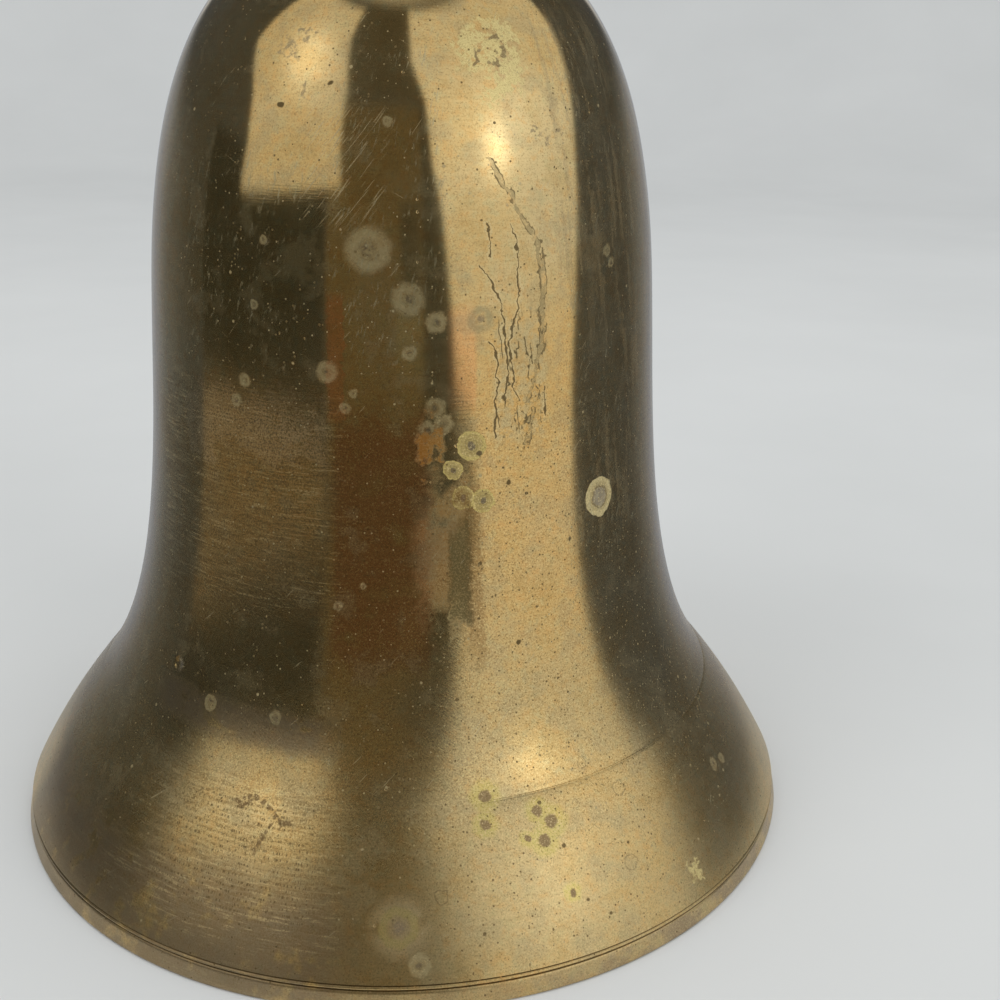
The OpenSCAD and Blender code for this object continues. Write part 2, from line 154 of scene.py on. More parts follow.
class Field:
    """A number, colour or place that varies over a surface: what one socket of a node gives. Fields add,
    subtract and multiply, and each call adds nodes to the material and gives the field that they make."""

    def __init__(self, socket):
        self.socket = socket

    def new(self, kind, inputs=(), output=0, **settings):
        return Field(node(self.socket.id_data, kind, inputs, **settings).outputs[output])

    def math(self, operation, other=0.0):
        return self.new("Math", {0: self, 1: other}, operation=operation)

    def __add__(self, other):
        return self.math("ADD", other)

    __radd__ = __add__

    def __mul__(self, other):
        return self.math("MULTIPLY", other)

    def __sub__(self, other):
        return self.math("SUBTRACT", other)

    def __rsub__(self, other):
        return self.new("Math", {0: other, 1: self}, operation="SUBTRACT")

    def step(self, low, high):
        """0 below low and 1 above high, smooth between; falls instead where low is the greater."""
        limits = {"Value": self, "From Min": low, "From Max": high}
        return self.new("MapRange", limits, interpolation_type="SMOOTHSTEP")

    def span(self, low, high, soft):
        """1 between low and high, falling to 0 over soft on either side."""
        return self.step(low - soft, low) * self.step(high + soft, high)

    def between(self, low, high):
        """Runs from low to high as this share runs from 0 to 1."""
        return self.new("Mix", {0: self, 2: low, 3: high}, data_type="FLOAT")

    def ramp(self, *stops):
        """Colour, or number, that runs through stops of (share, colour)."""
        made = node(self.socket.id_data, "ValToRGB", {0: self})
        elements = made.color_ramp.elements
        while len(elements) < len(stops):
            elements.new(1.0)
        for element, (at, colour) in zip(elements, stops):
            element.position = at
            element.color = (*colour, 1.0) if isinstance(colour, tuple) else (colour, colour, colour, 1.0)
        return Field(made.outputs[0])

    def painted(self, share, colour):
        """This colour with another laid over a share of it."""
        return self.new("Mix", {0: share, 6: self, 7: colour}, 2, data_type="RGBA")

    def parts(self):
        """The three numbers of a place or colour."""
        return [Field(socket) for socket in node(self.socket.id_data, "SeparateXYZ", {0: self}).outputs]

    def from_axis(self):
        """Distance of a place from the Z axis."""
        east, north, _ = self.parts()
        return (east.math("POWER", 2.0) + north.math("POWER", 2.0)).math("SQRT")

    def away(self, point):
        """Distance of a place from a point."""
        return self.new("VectorMath", {0: self, 1: point}, 1, operation="DISTANCE")

    def moved(self, way, reach):
        """This place, moved by reach times another."""
        shift = self.new("VectorMath", {0: way, 3: reach}, operation="SCALE")
        return self.new("VectorMath", {0: self, 1: shift}, operation="ADD")

    def stretched(self, scale, turn=(0.0, 0.0, 0.0)):
        """This place turned, then scaled along X, Y and Z."""
        return self.new("Mapping", {"Vector": self, "Scale": scale, "Rotation": turn})

    def noise(self, scale, detail, roughness=0.55, distortion=0.0, output="Fac"):
        """Soft clouds about a value of a half, scale of them to the millimetre."""
        inputs = {
            "Vector": self, "Scale": scale, "Detail": detail, "Roughness": roughness, "Distortion": distortion
        }
        return self.new("TexNoise", inputs, output)

    def unrest(self, scale, detail, roughness=0.55):
        """A way to move that wanders from place to place, up to half a millimetre along each axis."""
        cloud = self.noise(scale, detail, roughness, output="Color")
        return self.new("VectorMath", {0: cloud, 1: (0.5, 0.5, 0.5)}, operation="SUBTRACT")

    def cells(self, scale):
        """Cells about scattered middles: the distance from the middle, and each cell's random colour."""
        made = node(self.socket.id_data, "TexVoronoi", {"Vector": self, "Scale": scale})
        return Field(made.outputs["Distance"]), Field(made.outputs["Color"])

    def seams(self, scale):
        """Distance from the nearest seam between two cells."""
        return self.new("TexVoronoi", {"Vector": self, "Scale": scale}, "Distance", feature="DISTANCE_TO_EDGE")

    def bump(self):
        """Normal of a surface raised by this height, in millimetres."""
        return self.new("Bump", {"Height": self, "Distance": MM})


def joined(x, y, z=0.0):
    """Place with these coordinates."""
    return x.new("CombineXYZ", {0: x, 1: y, 2: z})


def most(*fields, operation="MAXIMUM"):
    """The greatest of several fields."""
    total = fields[0]
    for field in fields[1:]:
        total = total.math(operation, field)
    return total


def surface(name):
    """New material, and the place of each point on it in Object coordinates, in millimetres."""
    material = bpy.data.materials.new(name)
    material.use_nodes = True
    material.node_tree.nodes.clear()
    coordinates = Field(node(material.node_tree, "TexCoord").outputs["Object"])
    return material, coordinates.new("VectorMath", {0: coordinates, 3: 1000.0}, operation="SCALE")


def closed(tree, shader, output="OutputMaterial"):
    """Ends a node tree in its shader."""
    tree.links.new(shader.outputs[0], node(tree, output).inputs[0])


def shade(material, **inputs):
    """Closes a finish with a Principled shader; an underscore in a name stands for a space."""
    inputs = {name.replace("_", " "): value for name, value in inputs.items()}
    closed(material.node_tree, node(material.node_tree, "BsdfPrincipled", inputs))
    return material


paper, paper_place = surface("paper")
off_axis = paper_place.from_axis()
direct, glossy = (paper_place.new("LightPath", output=name) for name in ("Is Camera Ray", "Is Glossy Ray"))
below = paper_place.new("NewGeometry", output="Backfacing")
open_share = most(glossy * off_axis.step(70, 110), (1 - direct) * off_axis.step(500, 600), below)
sheet_colour = paper_place.noise(0.009, 4).ramp((0.3, (0.655, 0.670, 0.665)), (0.7, (0.685, 0.700, 0.695)))
sheet = node(paper.node_tree, "BsdfDiffuse", {"Color": sheet_colour})
clear = node(paper.node_tree, "BsdfTransparent")
sheet_mix = {0: open_share, 1: sheet.outputs[0], 2: clear.outputs[0]}
closed(paper.node_tree, node(paper.node_tree, "MixShader", sheet_mix))

sweep_flat, sweep_bend, sweep_top, mouth_gap = 900.0, 500.0, 5200.0, 63.0
bend = np.radians(np.linspace(0.0, 90.0, 24))
sweep = np.concatenate([
    np.stack([np.geomspace(mouth_gap, sweep_flat, 30), np.zeros(30)], -1),
    np.stack([sweep_flat + sweep_bend * np.sin(bend), sweep_bend * (1.0 - np.cos(bend))], -1)[1:],
    [[sweep_flat + sweep_bend, sweep_top]],
])
floor = placed("floor", turned(sweep[::-1], 128, loop=False), paper)
floor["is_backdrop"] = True


# Room: what polished metal shows. A pale window on either side, dark walls between and a pale wall behind.
# Each direction's light is worked out from its azimuth, 0 in front and + to the right, and its elevation.
def eased(x, low, high):
    """0 below low and 1 above high, with a smooth step between."""
    t = np.clip((x - low) / (high - low), 0.0, 1.0)
    return t * t * (3.0 - 2.0 * t)


def past(value, edge, soft):
    """1 past an edge and 0 short of it, soft to either side."""
    return eased(value - edge, -soft, soft)


def short(value, edge, soft):
    """1 short of an edge and 0 past it, soft to either side."""
    return eased(edge - value, -soft, soft)


def room_light(azimuth, elevation):
    """Light from each direction: layers laid one over another, each with its own share and colour."""
    def pane(left, right, bottom, top, soft):
        """1 inside a rectangle of directions, with edges soft degrees wide."""
        across = past(azimuth, left, soft) * short(azimuth, right, soft)
        return across * past(elevation, bottom, soft) * short(elevation, top, soft)

    def glow(centre, size):
        """A round patch of light: the bell curve of the distance from its centre over its size."""
        return np.exp(-((azimuth - centre[0]) / size[0]) ** 2 - ((elevation - centre[1]) / size[1]) ** 2)

    right_from = np.interp(
        elevation, [-11, -10, -8, -2, 4, 10, 20, 35, 48], [30, 27, 21, 19.5, 18, 16.5, 12.5, 11.5, 5]
    )
    right_to = np.interp(elevation, [-11, 2, 12, 26, 39, 60], [77, 82, 86, 96, 107, 122])
    left_from = np.interp(elevation, [17, 26, 37], [-77, -81, -94])
    left_to = np.interp(elevation, [13, 24, 36, 53], [-28, -30, -30, -36])
    sill = np.interp(azimuth, [-98, -27], [6.5, 15])
    behind, low_wall = np.abs(azimuth), short(elevation, 8, 6)
    left_window = past(azimuth, left_from, 1.2) * short(azimuth, left_to, 1.2)
    left_window = left_window * past(elevation, sill, 0.8) * short(elevation, 66, 3)
    in_right = past(azimuth, right_from, 1.5) * short(azimuth, right_to, 1.5)
    low_right = past(azimuth, right_from, 2) * short(azimuth, right_to, 1.5) * short(elevation, -5, 4)
    past_right = past(azimuth, right_to, 1.5) * short(azimuth, 122, 8) * short(elevation, 70, 4)
    back_window = 0.5487 * past(behind, 158, 3) * past(elevation, 8, 3) * short(elevation, 52, 3)
    light = np.zeros(azimuth.shape + (3,))
    for share, colour in (
        (np.ones_like(azimuth), (0.060, 0.068, 0.080)),
        (past(behind, 119, 16) * low_wall, (0.145, 0.165, 0.205)),
        (past(behind, 138, 10) * low_wall, (0.26, 0.29, 0.36)),
        (past(behind, 154, 8) * low_wall, (0.36, 0.39, 0.43)),
        (back_window, (0.85, 0.86, 0.86)),
        (pane(-34, 12, -60, 34, 1), (0.112, 0.094, 0.060)),
        (pane(-34, 12, 34, 72, 5), (0.072, 0.070, 0.058)),
        (pane(-2, 6, -1, 13, 0.8), (0.060, 0.058, 0.045)),
        (pane(-4, 8, -7, -1, 1), (0.155, 0.145, 0.100)),
        (pane(7.5, 34, -14, 40, 1), (0.050, 0.052, 0.046)),
        (pane(-98, -35, -60, -10.3, 0.6), (0.165, 0.140, 0.105)),
        (pane(-98, -36, -12, -10.3, 0.5), (0.235, 0.200, 0.150)),
        (pane(-98, -35, -10.3, 16, 0.6), (0.026, 0.030, 0.030)),
        (left_window, (0.66, 0.64, 0.58)),
        (in_right * short(elevation, 68, 4), (0.74, 0.74, 0.71)),
        (low_right, (0.78, 0.73, 0.64)),
        (past_right, (0.070, 0.082, 0.108)),
        (past(elevation, 72, 5), (0.45, 0.45, 0.44)),
    ):
        light += share[..., None] * (np.array(colour) - light)
    for share, colour in (
        (0.38 * in_right * glow((46, 27), (30, 13)), (1.0, 1.02, 1.04)),
        (1.05 * glow((44, 21.5), (7, 5)), (1.0, 1.0, 0.96)),
        (0.75 * glow((-57, 42), (13, 9)), (1.0, 1.0, 0.98)),
    ):
        light += share[..., None] * np.array(colour)
    return light


room_reach, room_middle = 4.0, (0.0, 0.0, 0.07)
room_azimuth = np.radians(np.arange(-180.0, 180.0, 1.0))[None, :]
room_elevation = np.radians(np.arange(-90.0, 90.5, 1.0))[:, None]
room_points = room_reach * np.stack([
    np.cos(room_elevation) * np.sin(room_azimuth),
    -np.cos(room_elevation) * np.cos(room_azimuth),
    np.sin(room_elevation) + 0.0 * room_azimuth,
], -1)
glaze, glaze_place = surface("room_light")
glare = glaze_place.new("Attribute", output="Color", attribute_name="room_light")
closed(glaze.node_tree, node(glaze.node_tree, "Emission", {"Color": glare}))
glaze.cycles.emission_sampling = "NONE"
room = placed("room", skin(room_points[::-1] + room_middle), glaze)
walls = np.empty(len(room.data.vertices) * 3, np.float32)
room.data.vertices.foreach_get("co", walls)
walls = walls.reshape(-1, 3) - room_middle
room_colour = room_light(
    np.degrees(np.arctan2(walls[:, 0], -walls[:, 1])),
    np.degrees(np.arcsin(np.clip(walls[:, 2] / room_reach, -1, 1))),
)
light_of_room = room.data.attributes.new("room_light", "FLOAT_COLOR", "POINT")
light_of_room.data.foreach_set("color", np.insert(room_colour, 3, 1.0, axis=1).astype(np.float32).ravel())
room.visible_camera = room.visible_diffuse = room.visible_shadow = False
room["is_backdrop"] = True


# Lamps: two broad soft boxes where the windows are and one overhead. They light wood, leather and paper,
# and stay out of the metal, which already shows the windows.
for name, lamp_place, size, power in (
    ("lamp_right", (0.95, -0.95, 0.75), 1.1, 5.8),
    ("lamp_left", (-1.0, -0.65, 0.85), 1.0, 4.5),
    ("lamp_above", (0.1, 0.1, 1.5), 1.2, 6.0),
):
    lamp = bpy.data.objects.new(name, bpy.data.lights.new(name, "AREA"))
    lamp.data.shape = "DISK"
    lamp.data.size = size
    lamp.data.energy = power
    lamp.location = lamp_place
    lamp.rotation_euler = (Vector((0.0, 0.0, 0.08)) - Vector(lamp_place)).to_track_quat("-Z", "Y").to_euler()
    lamp.visible_camera = lamp.visible_glossy = False
    bpy.context.scene.collection.objects.link(lamp)

world = bpy.data.worlds.new("studio")
world.use_nodes = True
bpy.context.scene.world = world
sky = world.node_tree
sky.nodes.clear()
sky_light = node(sky, "Background", {0: (0.98, 0.99, 1.0), 1: 0.58})
sky_pale = node(sky, "Background", {0: (0.70, 0.71, 0.71)})
sky_ray = node(sky, "LightPath").outputs
seen = most(*(Field(sky_ray[name]) for name in ("Is Camera Ray", "Is Glossy Ray", "Is Transmission Ray")))
closed(sky, node(sky, "MixShader", {0: seen, 1: sky_light.outputs[0], 2: sky_pale.outputs[0]}), "OutputWorld")
bpy.context.scene.view_settings.view_transform = "Standard"


# Bell: one brass casting, turned outside and in, with a rim band, a bead between two scribed lines, a bow,
# a scribed step line, a flare, a waist and a round shoulder. Its polish has aged to patches, rings and runs.
def cubic(p, steps):
    """Points of the cubic curve through p[0] and p[3] that p[1] and p[2] draw out."""
    t = np.linspace(0.0, 1.0, steps)[:, None]
    p = np.asarray(p, float)
    return (1 - t) ** 3 * p[0] + 3 * (1 - t) ** 2 * t * p[1] + 3 * (1 - t) * t * t * p[2] + t ** 3 * p[3]


def leaning(degrees):
    """Direction up a wall that leans in by an angle from the vertical."""
    return np.array([-np.sin(np.radians(degrees)), np.cos(np.radians(degrees))])


def arc(centre, radius, start, end, steps):
    """Points (radius, height) of an arc, from one angle to another, in degrees."""
    t = np.radians(np.linspace(start, end, steps))
    return np.stack([centre[0] + radius * np.cos(t), centre[1] + radius * np.sin(t)], -1)


def scribed(top, depth, width, steps=7):
    """A turned line that starts at a point and runs up: a groove whose section is a cosine."""
    t = np.linspace(0.0, 1.0, steps)
    return np.stack([top[0] - depth * 0.5 * (1.0 - np.cos(2 * np.pi * t)), top[1] + width * t], -1)


lip_r, lip_round, foot_w = 63.47, 0.4, 2.8
band_top = np.array([62.85, 2.6])
line_w, line_depth, bead_w, bead_sunk = 0.36, 0.26, 0.4, 0.12
bead_foot = band_top + (0.0, line_w)
bead_head = bead_foot + (0.0, bead_w)
bow_foot = bead_head + (0.0, line_w)
step_point, bow_bulge, step_line_w, step_line_depth = np.array([50.2, 22.3]), 0.65, 0.4, 0.12
step_line_z = step_point[1] - 0.24
worn_reach, worn_fill = 3.0, 0.10
waist_point, seat_point, waist_lean = np.array([38.05, 84.0]), np.array([15.0, 134.0]), 3.6
roof_z, roof_r, hole_r, wall_r = 130.0, 12.5, 4.3, 49.0
strike_z, thin_z = 21.0, 58.0
rim_wall, bow_wall, waist_wall, crown_wall = 4.0, 5.8, 3.0, 4.0

bow_u = np.linspace(0.0, 1.0, 56)[:, None]
bow_chord = step_point - bow_foot
bow_out = np.array([bow_chord[1], -bow_chord[0]]) / np.linalg.norm(bow_chord)
bow = bow_foot + bow_u * bow_chord + bow_bulge * 4.0 * bow_u * (1.0 - bow_u) * bow_out
waist_up = leaning(waist_lean)
flare = cubic([step_point, step_point + 17.5 * leaning(36), waist_point - 22.3 * waist_up, waist_point], 84)
shoulder = cubic([waist_point, waist_point + 26.0 * waist_up, seat_point - 17.4 * leaning(66), seat_point], 84)
near_step = np.concatenate([bow[-4:], flare[1:3]])
step_stretch = step_line_z + step_line_w * np.linspace(0.0, 1.0, 9)
bell_outside = np.concatenate([
    arc((lip_r - lip_round, lip_round), lip_round, -90, 0, 9),
    np.linspace((lip_r, lip_round + 0.15), band_top, 7),
    scribed(band_top, line_depth, line_w)[1:],
    arc(bead_foot + (-bead_sunk, bead_w / 2), bead_w / 2, -80, 80, 9),
    scribed(bead_head, line_depth, line_w),
    bow[1:-3],
    np.stack([np.interp(step_stretch, near_step[:, 1], near_step[:, 0]), step_stretch], -1),
    flare[1:],
    shoulder[1:],
])


def wall_at(z):
    """Wall in mm at a height, eased by cosines from the rim by the strike and the waist to the crown."""
    cosine = lambda a, b, t: a + (b - a) * (1.0 - np.cos(np.pi * np.clip(t, 0.0, 1.0))) / 2.0
    below_strike = cosine(rim_wall, bow_wall, z / strike_z)
    above_strike = cosine(bow_wall, waist_wall, (z - strike_z) / (thin_z - strike_z))
    above_thin = cosine(waist_wall, crown_wall, (z - thin_z) / (seat_point[1] - thin_z))
    return np.where(z < strike_z, below_strike, np.where(z < thin_z, above_strike, above_thin))


smooth_outside = np.concatenate([bow, flare[1:], shoulder[1:]])
heading = np.gradient(smooth_outside, axis=0)
heading /= np.linalg.norm(heading, axis=1)[:, None]
inside = smooth_outside - wall_at(smooth_outside[:, 1:]) * np.stack([heading[:, 1], -heading[:, 0]], -1)
inside = inside[(inside[:, 1] < roof_z - 0.5) & (inside[:, 1] > 0.6)][::2]
foot_out_r, foot_in_r = lip_r - lip_round, lip_r - lip_round - foot_w
bell_profile = np.concatenate([
    bell_outside,
    np.linspace(seat_point, (hole_r + 0.3, seat_point[1]), 5)[1:],
    [(hole_r, seat_point[1] - 0.3), (hole_r, roof_z)],
    np.linspace((hole_r + 0.1, roof_z), (roof_r, roof_z), 5),
    inside[::-1],
    [(foot_in_r - 0.15, 0.3), (foot_in_r, 0.0)],
    np.linspace((foot_in_r, 0.0), (foot_out_r, 0.0), 4)[1:-1],
])


def hand_turned(azimuth, radius, height):
    """How far the wall stands from a true turning, in mm: slow waves that make the reflections waver, and
    the step line, a groove whose section is a cosine, which polishing has worn away left of the front."""
    waves = 0.010 * np.sin(3 * azimuth + height / 9.0) * np.sin(height / 7.3 + 1.0)
    waves = waves + 0.006 * np.sin(7 * azimuth - height / 4.1) * np.cos(height / 5.7)
    waves = waves + 0.004 * np.sin(13 * azimuth + height / 2.9 + 0.7)
    across = np.clip((height - step_line_z) / step_line_w, 0.0, 1.0)
    from_left = np.degrees(np.abs(azimuth - np.radians(-38.0)))
    left_in = eased(from_left, 42.0, 58.0) * (radius > wall_r)
    groove = step_line_depth * 0.5 * (1.0 - np.cos(2.0 * np.pi * across)) * left_in
    fillet = np.clip(worn_reach - np.abs(height - step_point[1]), 0.0, None) ** 2 * worn_fill / worn_reach ** 2
    groove = groove - fillet * (1.0 - left_in) * (radius > wall_r - 3.0)
    waves = waves * eased(height, 5.0, 9.0) * eased(-height, -132.0, -126.0) - 0.012 * eased(height, 5.0, 9.0)
    return waves - groove


def on_bell(azimuth, height):
    """Point on the outside of the bell at an azimuth in degrees, 0 in front, and a height, in mm."""
    radius = np.interp(height, smooth_outside[:, 1], smooth_outside[:, 0])
    return (radius * np.sin(np.radians(azimuth)), -radius * np.cos(np.radians(azimuth)), height)


def nearest(place, *spots):
    """Distance to the nearest of some spots (azimuth, height, radius), as a share of that spot's radius."""
    shares = (place.away(on_bell(azimuth, height)) * (1.0 / radius) for azimuth, height, radius in spots)
    return most(*shares, operation="MINIMUM")


brass, place = surface("aged_brass")
east, north, height = place.parts()
turn = east.math("ARCTAN2", north * -1)
azimuth = turn * (180.0 / np.pi)
unrest = place.unrest(0.9, 1)
wandering = place.moved(unrest, 0.8)
cloud = place.noise(0.05, 3, 0.6)
haze = place.noise(0.19, 3, 0.6)
mottle = place.noise(0.8, 3, 0.65)
grain = place.noise(4.3, 2, 0.8)
lathe_lines = place.stretched((0.22, 0.22, 2.9), (0.03, 0.0, 0.0)).noise(1, 2, 0.7)
drifting = azimuth + (mottle - 0.5) * 3.2
sinking = height + (haze - 0.5) * 16 + (mottle - 0.5) * 5


def slanting(lead, across, along):
    """Place in which lines that climb the bell at a slant run straight, packed across and stretched along."""
    skewed = turn + height * lead
    sine, cosine = (skewed.math(wave) * (40.0 * across) for wave in ("SINE", "COSINE"))
    return joined(cosine, sine, height * along)


# The metal: clouds of gold and straw, copper-red where zinc has gone, a thin brown film low on the bell, and
# painted reflections in front
metal = cloud.ramp((0.38, (0.66, 0.46, 0.19)), (0.50, (0.70, 0.50, 0.22)), (0.62, (0.71, 0.54, 0.27)))
# Copper-red tarnish, partly real and partly painted reflection: it darkens the front to stand in for the
# reflection of what stood before the bell
copper_and_front_reflection = sinking.span(43, 69, 7) * drifting.span(-13, 3, 2.6) * haze.step(0.18, 0.40)
copper_right = height.span(76, 86, 3) * azimuth.span(8.5, 13, 1.2)
copper_strip = height.span(74, 88, 2) * drifting.span(-15.2, -12.2, 0.5)
ruddy = most(copper_right * 0.6, copper_strip)
film = height.step(90, 20) * cloud.step(0.38, 0.60)
grime_low = height.step(18, 10) * azimuth.span(-70, -13, 9)
grime_band = height.span(28.6, 31, 2.6) * azimuth.span(-48, -17, 7)
grime = most(grime_low, grime_band) * haze.step(0.30, 0.46)
rubbed_through = grain.step(0.56, 0.38).between(1.0, 0.68)
# Painted reflection: a dark strip and an olive-brown strip beside it stand in for the reflection of a dark thing
# close to the bell
dark_reflection_strip = sinking.span(46, 58, 4) * drifting.span(8.6, 11.2, 1.4) * rubbed_through * 0.90
olive_reflection_strip = sinking.span(42, 60, 5) * drifting.span(11.6, 14, 1)
# Amber tarnish laid on dark across the front, partly real and partly a painted reflection of what stood before
# the bell
amber_front_reflection = sinking.span(52, 58, 9) * drifting.step(-1, 6) * drifting.step(12.6, 11.4)
amber_front_reflection = amber_front_reflection * rubbed_through * haze.step(0.30, 0.60).between(0.95, 0.65)
ember = sinking.span(66.6, 71, 1.6) * drifting.span(2.6, 6.6, 1.2) * mottle.step(0.22, 0.52) * rubbed_through
bared = sinking.span(67, 73.6, 2.2) * drifting.span(-50, -17, 3) * grain.step(0.62, 0.42)

# Pits and specks: each cell of a pattern holds a dark pit, a pale speck or nothing, by its own random number
lower_front = height.span(12, 66, 12) * azimuth.span(8, 36, 8)
lower_right = height.step(70, 44) * azimuth.span(32, 80, 8)
pit_patch = height.span(63, 70, 3) * azimuth.span(17.5, 24, 2.5)
dusted = most(lower_front * 0.45, pit_patch)
coarse, fate = place.cells(0.62)
fate = fate.parts()[0]
fine, fine_fate = place.cells(2.1)
fine_fate = fine_fate.parts()[0]
pit_r = fate.step(0.80, 1) * lower_front.between(0.13, 0.22)
speck_r = fate.step(lower_right.between(0.13, 0.55), 0) * 0.21
pinhole_r = fine_fate.step(dusted.between(0.90, 0.45), 1) * 0.42
dust_r = fine_fate.step(lower_right.between(0.13, 0.50), 0) * 0.36
pits = coarse.step(pit_r, pit_r * 0.5)
row_at = height * 1.6 + (mottle - 0.5) * 0.5 + azimuth * 0.012
row_number = row_at.math("FLOOR")
row_dashes = joined(azimuth * 3.3 + row_number * 2.37, row_number * 5.41).noise(1, 2, 0.8).step(0.52, 0.60)
row_zone = height.span(11, 20.5, 3) * azimuth.span(-37, -15, 5)
rows = row_at.math("FRACT").span(0.36, 0.58, 0.18) * row_dashes * row_zone
pitting = most(pits, fine.step(pinhole_r, pinhole_r * 0.5), rows)
lime = most(coarse.step(speck_r, speck_r * 0.4), fine.step(dust_r, dust_r * 0.4))


def off_run(azimuth, way, width):
    """Distance from the middle of a dried run, in half widths: way gives (height, azimuth) along the run."""
    low, high, widest, waist_girth = 60.0, 115.0, 40.0, np.radians(38.0)
    curve = node(brass.node_tree, "FloatCurve", {1: (height - low) * (1.0 / (high - low))})
    points = curve.mapping.curves[0].points
    way = sorted(way)
    for _ in way[2:]:
        points.new(0.5, 0.5)
    for point, (at, bearing) in zip(points, way):
        point.location = ((at - low) / (high - low), bearing / widest)
    curve.mapping.update()
    aside = (azimuth - Field(curve.outputs[0]) * widest).math("ABSOLUTE")
    return aside * (waist_girth / width) + (1 - height.span(way[0][0], way[-1][0], 1)) * 9


# Dried runs on the right of the waist: hair-thin cracks edged with a painted highlight, and one broad dull run
# with dark edges
hair_ways = (
    ([(92.7, 14.9), (89.9, 17.6), (86.5, 18.8), (82.6, 19.7), (78.7, 20.0), (75.3, 19.5)], 0.13),
    ([(83.0, 16.3), (80.0, 17.9), (76.4, 17.9), (70.3, 17.0)], 0.12),
    ([(97.8, 15.9), (93.9, 17.0)], 0.12),
    ([(97.7, 21.5), (94.2, 22.6), (87.1, 22.3), (85.2, 20.9), (78.6, 21.3), (75.0, 22.6)], 0.13),
    ([(76.4, 28.6), (72.6, 28.5)], 0.10),
)
broad_ways = (
    (
        [(105.7, 17.1), (102.6, 20.6), (99.1, 23.4), (95.6, 26.8), (85.8, 28.2), (77.5, 25.8), (74.6, 24.4)],
        0.42,
    ),
    ([(73.7, 25.7), (68.9, 24.3)], 0.30),
)
loose = azimuth + (place.noise(0.36, 3, 0.62) - 0.5) * 3.4
broken = place.stretched((1.0, 1.0, 0.5)).noise(0.7, 2, 0.7)
uneven = broken.step(0.40, 0.60).between(1.7, 0.62)
hair_field, run_field = (
    most(*(off_run(loose, way, width) for way, width in ways), operation="MINIMUM") * uneven
    for ways in (hair_ways, broad_ways)
)
hair = hair_field.step(1.2, 0.7)
# Painted highlight: a pale band on either side of each crack stands in for light caught by a raised lip
hair_lip_highlight = hair_field.span(1.6, 2.6, 0.5)
run_mask = run_field.step(1.15, 0.85)
run_edge = run_field.span(0.80, 1.02, 0.22) * broken.step(0.40, 0.52)
crack_seams = slanting(0.0012, 1.0, 0.10).moved(unrest, 0.8).seams(0.62)
crack_zone = height.span(73, 84, 5) * azimuth.span(18.5, 27.5, 2)
cracks = crack_seams.step(0.060, 0.02) * broken.step(0.50, 0.56) * crack_zone
flakes = height.span(71, 84, 3) * azimuth.span(18, 28, 1.5) * mottle.step(0.44, 0.54)
fissures = most(run_edge * 0.8, cracks, hair)

# Rings, halos and outlines that drops have left
ring = nearest(wandering, (12.5, 69.5, 1.95), (8.9, 66.4, 1.3), (10.8, 62.5, 1.6), (14.8, 61.9, 1.55))
oval = nearest(wandering, (43.1, 59.0, 2.9))
faint = nearest(
    wandering, (5.5, 74.8, 1.5), (7.0, 72.6, 1.4), (3.9, 71.9, 1.4), (0.6, 81.9, 1.1), (-7.2, 94.8, 3.2),
    (-15.4, 79.2, 1.6), (0.5, 88.7, 2.3), (5.8, 85.8, 1.5), (14.7, 86.0, 2.0), (-33.5, 76.9, 1.1),
    (-35.7, 74.0, 1.0), (-29.0, 95.2, 0.7), (-31.0, 87.0, 0.8), (-3.5, 110.0, 0.8), (-10.3, 76.6, 0.7),
    (-11.8, 74.6, 0.8), (-8.4, 50.6, 0.6), (-13.2, 47.6, 0.8), (47.0, 93.1, 1.0), (48.2, 91.4, 0.8),
    (-38.0, 31.0, 1.4), (-24.0, 31.5, 1.1), (1.0, 5.9, 1.7), (57.0, 15.5, 1.1), (60.0, 15.0, 0.9),
)
halo = nearest(
    wandering, (11.8, 22.9, 1.3), (11.2, 20.0, 1.1), (19.6, 20.4, 1.1), (21.4, 19.0, 1.4),
    (19.7, 17.2, 1.3), (17.1, 17.8, 0.7), (22.0, 11.0, 0.8),
)
outline = nearest(
    wandering, (34.6, 19.9, 1.1), (26.2, 20.1, 0.6), (28.7, 17.4, 0.65), (32.0, 11.9, 1.1),
    (29.5, 24.0, 0.8), (-29.3, 54.7, 1.1), (4.0, 13.0, 0.9),
)
dot = nearest(
    wandering, (14.1, 68.3, 0.5), (20.2, 64.0, 0.5), (-27.1, 111.6, 0.5), (-15.9, 114.4, 0.5),
    (21.0, 41.6, 0.5),
)
bloom = nearest(wandering, (-1.6, 10.0, 2.9))
branch_ways = (
    ((-27.3, 21.1), (-25.4, 21.9), (-23.0, 21.4), (-20.8, 20.8), (-19.6, 19.8), (-18.3, 19.9)),
    ((-20.4, 20.2), (-21.4, 18.8), (-22.2, 17.6), (-22.5, 16.6)),
    ((-24.6, 21.8), (-25.8, 20.9), (-26.6, 20.7)),
)
branch_spots = [
    (*(np.interp(at, range(len(way)), values) for values in zip(*way)), 0.30)
    for way in branch_ways for at in np.arange(0.0, len(way) - 0.5, 0.5)
]
branches = nearest(place.moved(unrest, 1.5), *branch_spots).step(1.7, 0.9) * mottle.step(0.24, 0.38)
faint_body = 0.36 + faint.span(0.55, 0.80, 0.25) * 0.22 + mottle.step(0.4, 0.6) * 0.12
faint_body = faint_body * faint.step(1.22, 0.58)
faint_heart = faint.step(0.34, 0.12) * mottle.step(0.58, 0.46)
halo_heart = halo.step(0.80, 0.50)
halo_fringe = halo.step(2.1, 1.2) * grain.step(0.36, 0.52)
bloom_ring = bloom.span(0.62, 0.82, 0.20) * (0.5 + grain.step(0.40, 0.58) * 0.5)
bloom_heart = bloom.step(0.46, 0.16) * (0.5 + grain.step(0.42, 0.58) * 0.5)
bloom_haze = bloom.step(1.9, 0.8) * haze.step(0.30, 0.50)
ring_body = ring.step(1.08, 0.96)
oval_body = oval.step(1.03, 0.95)

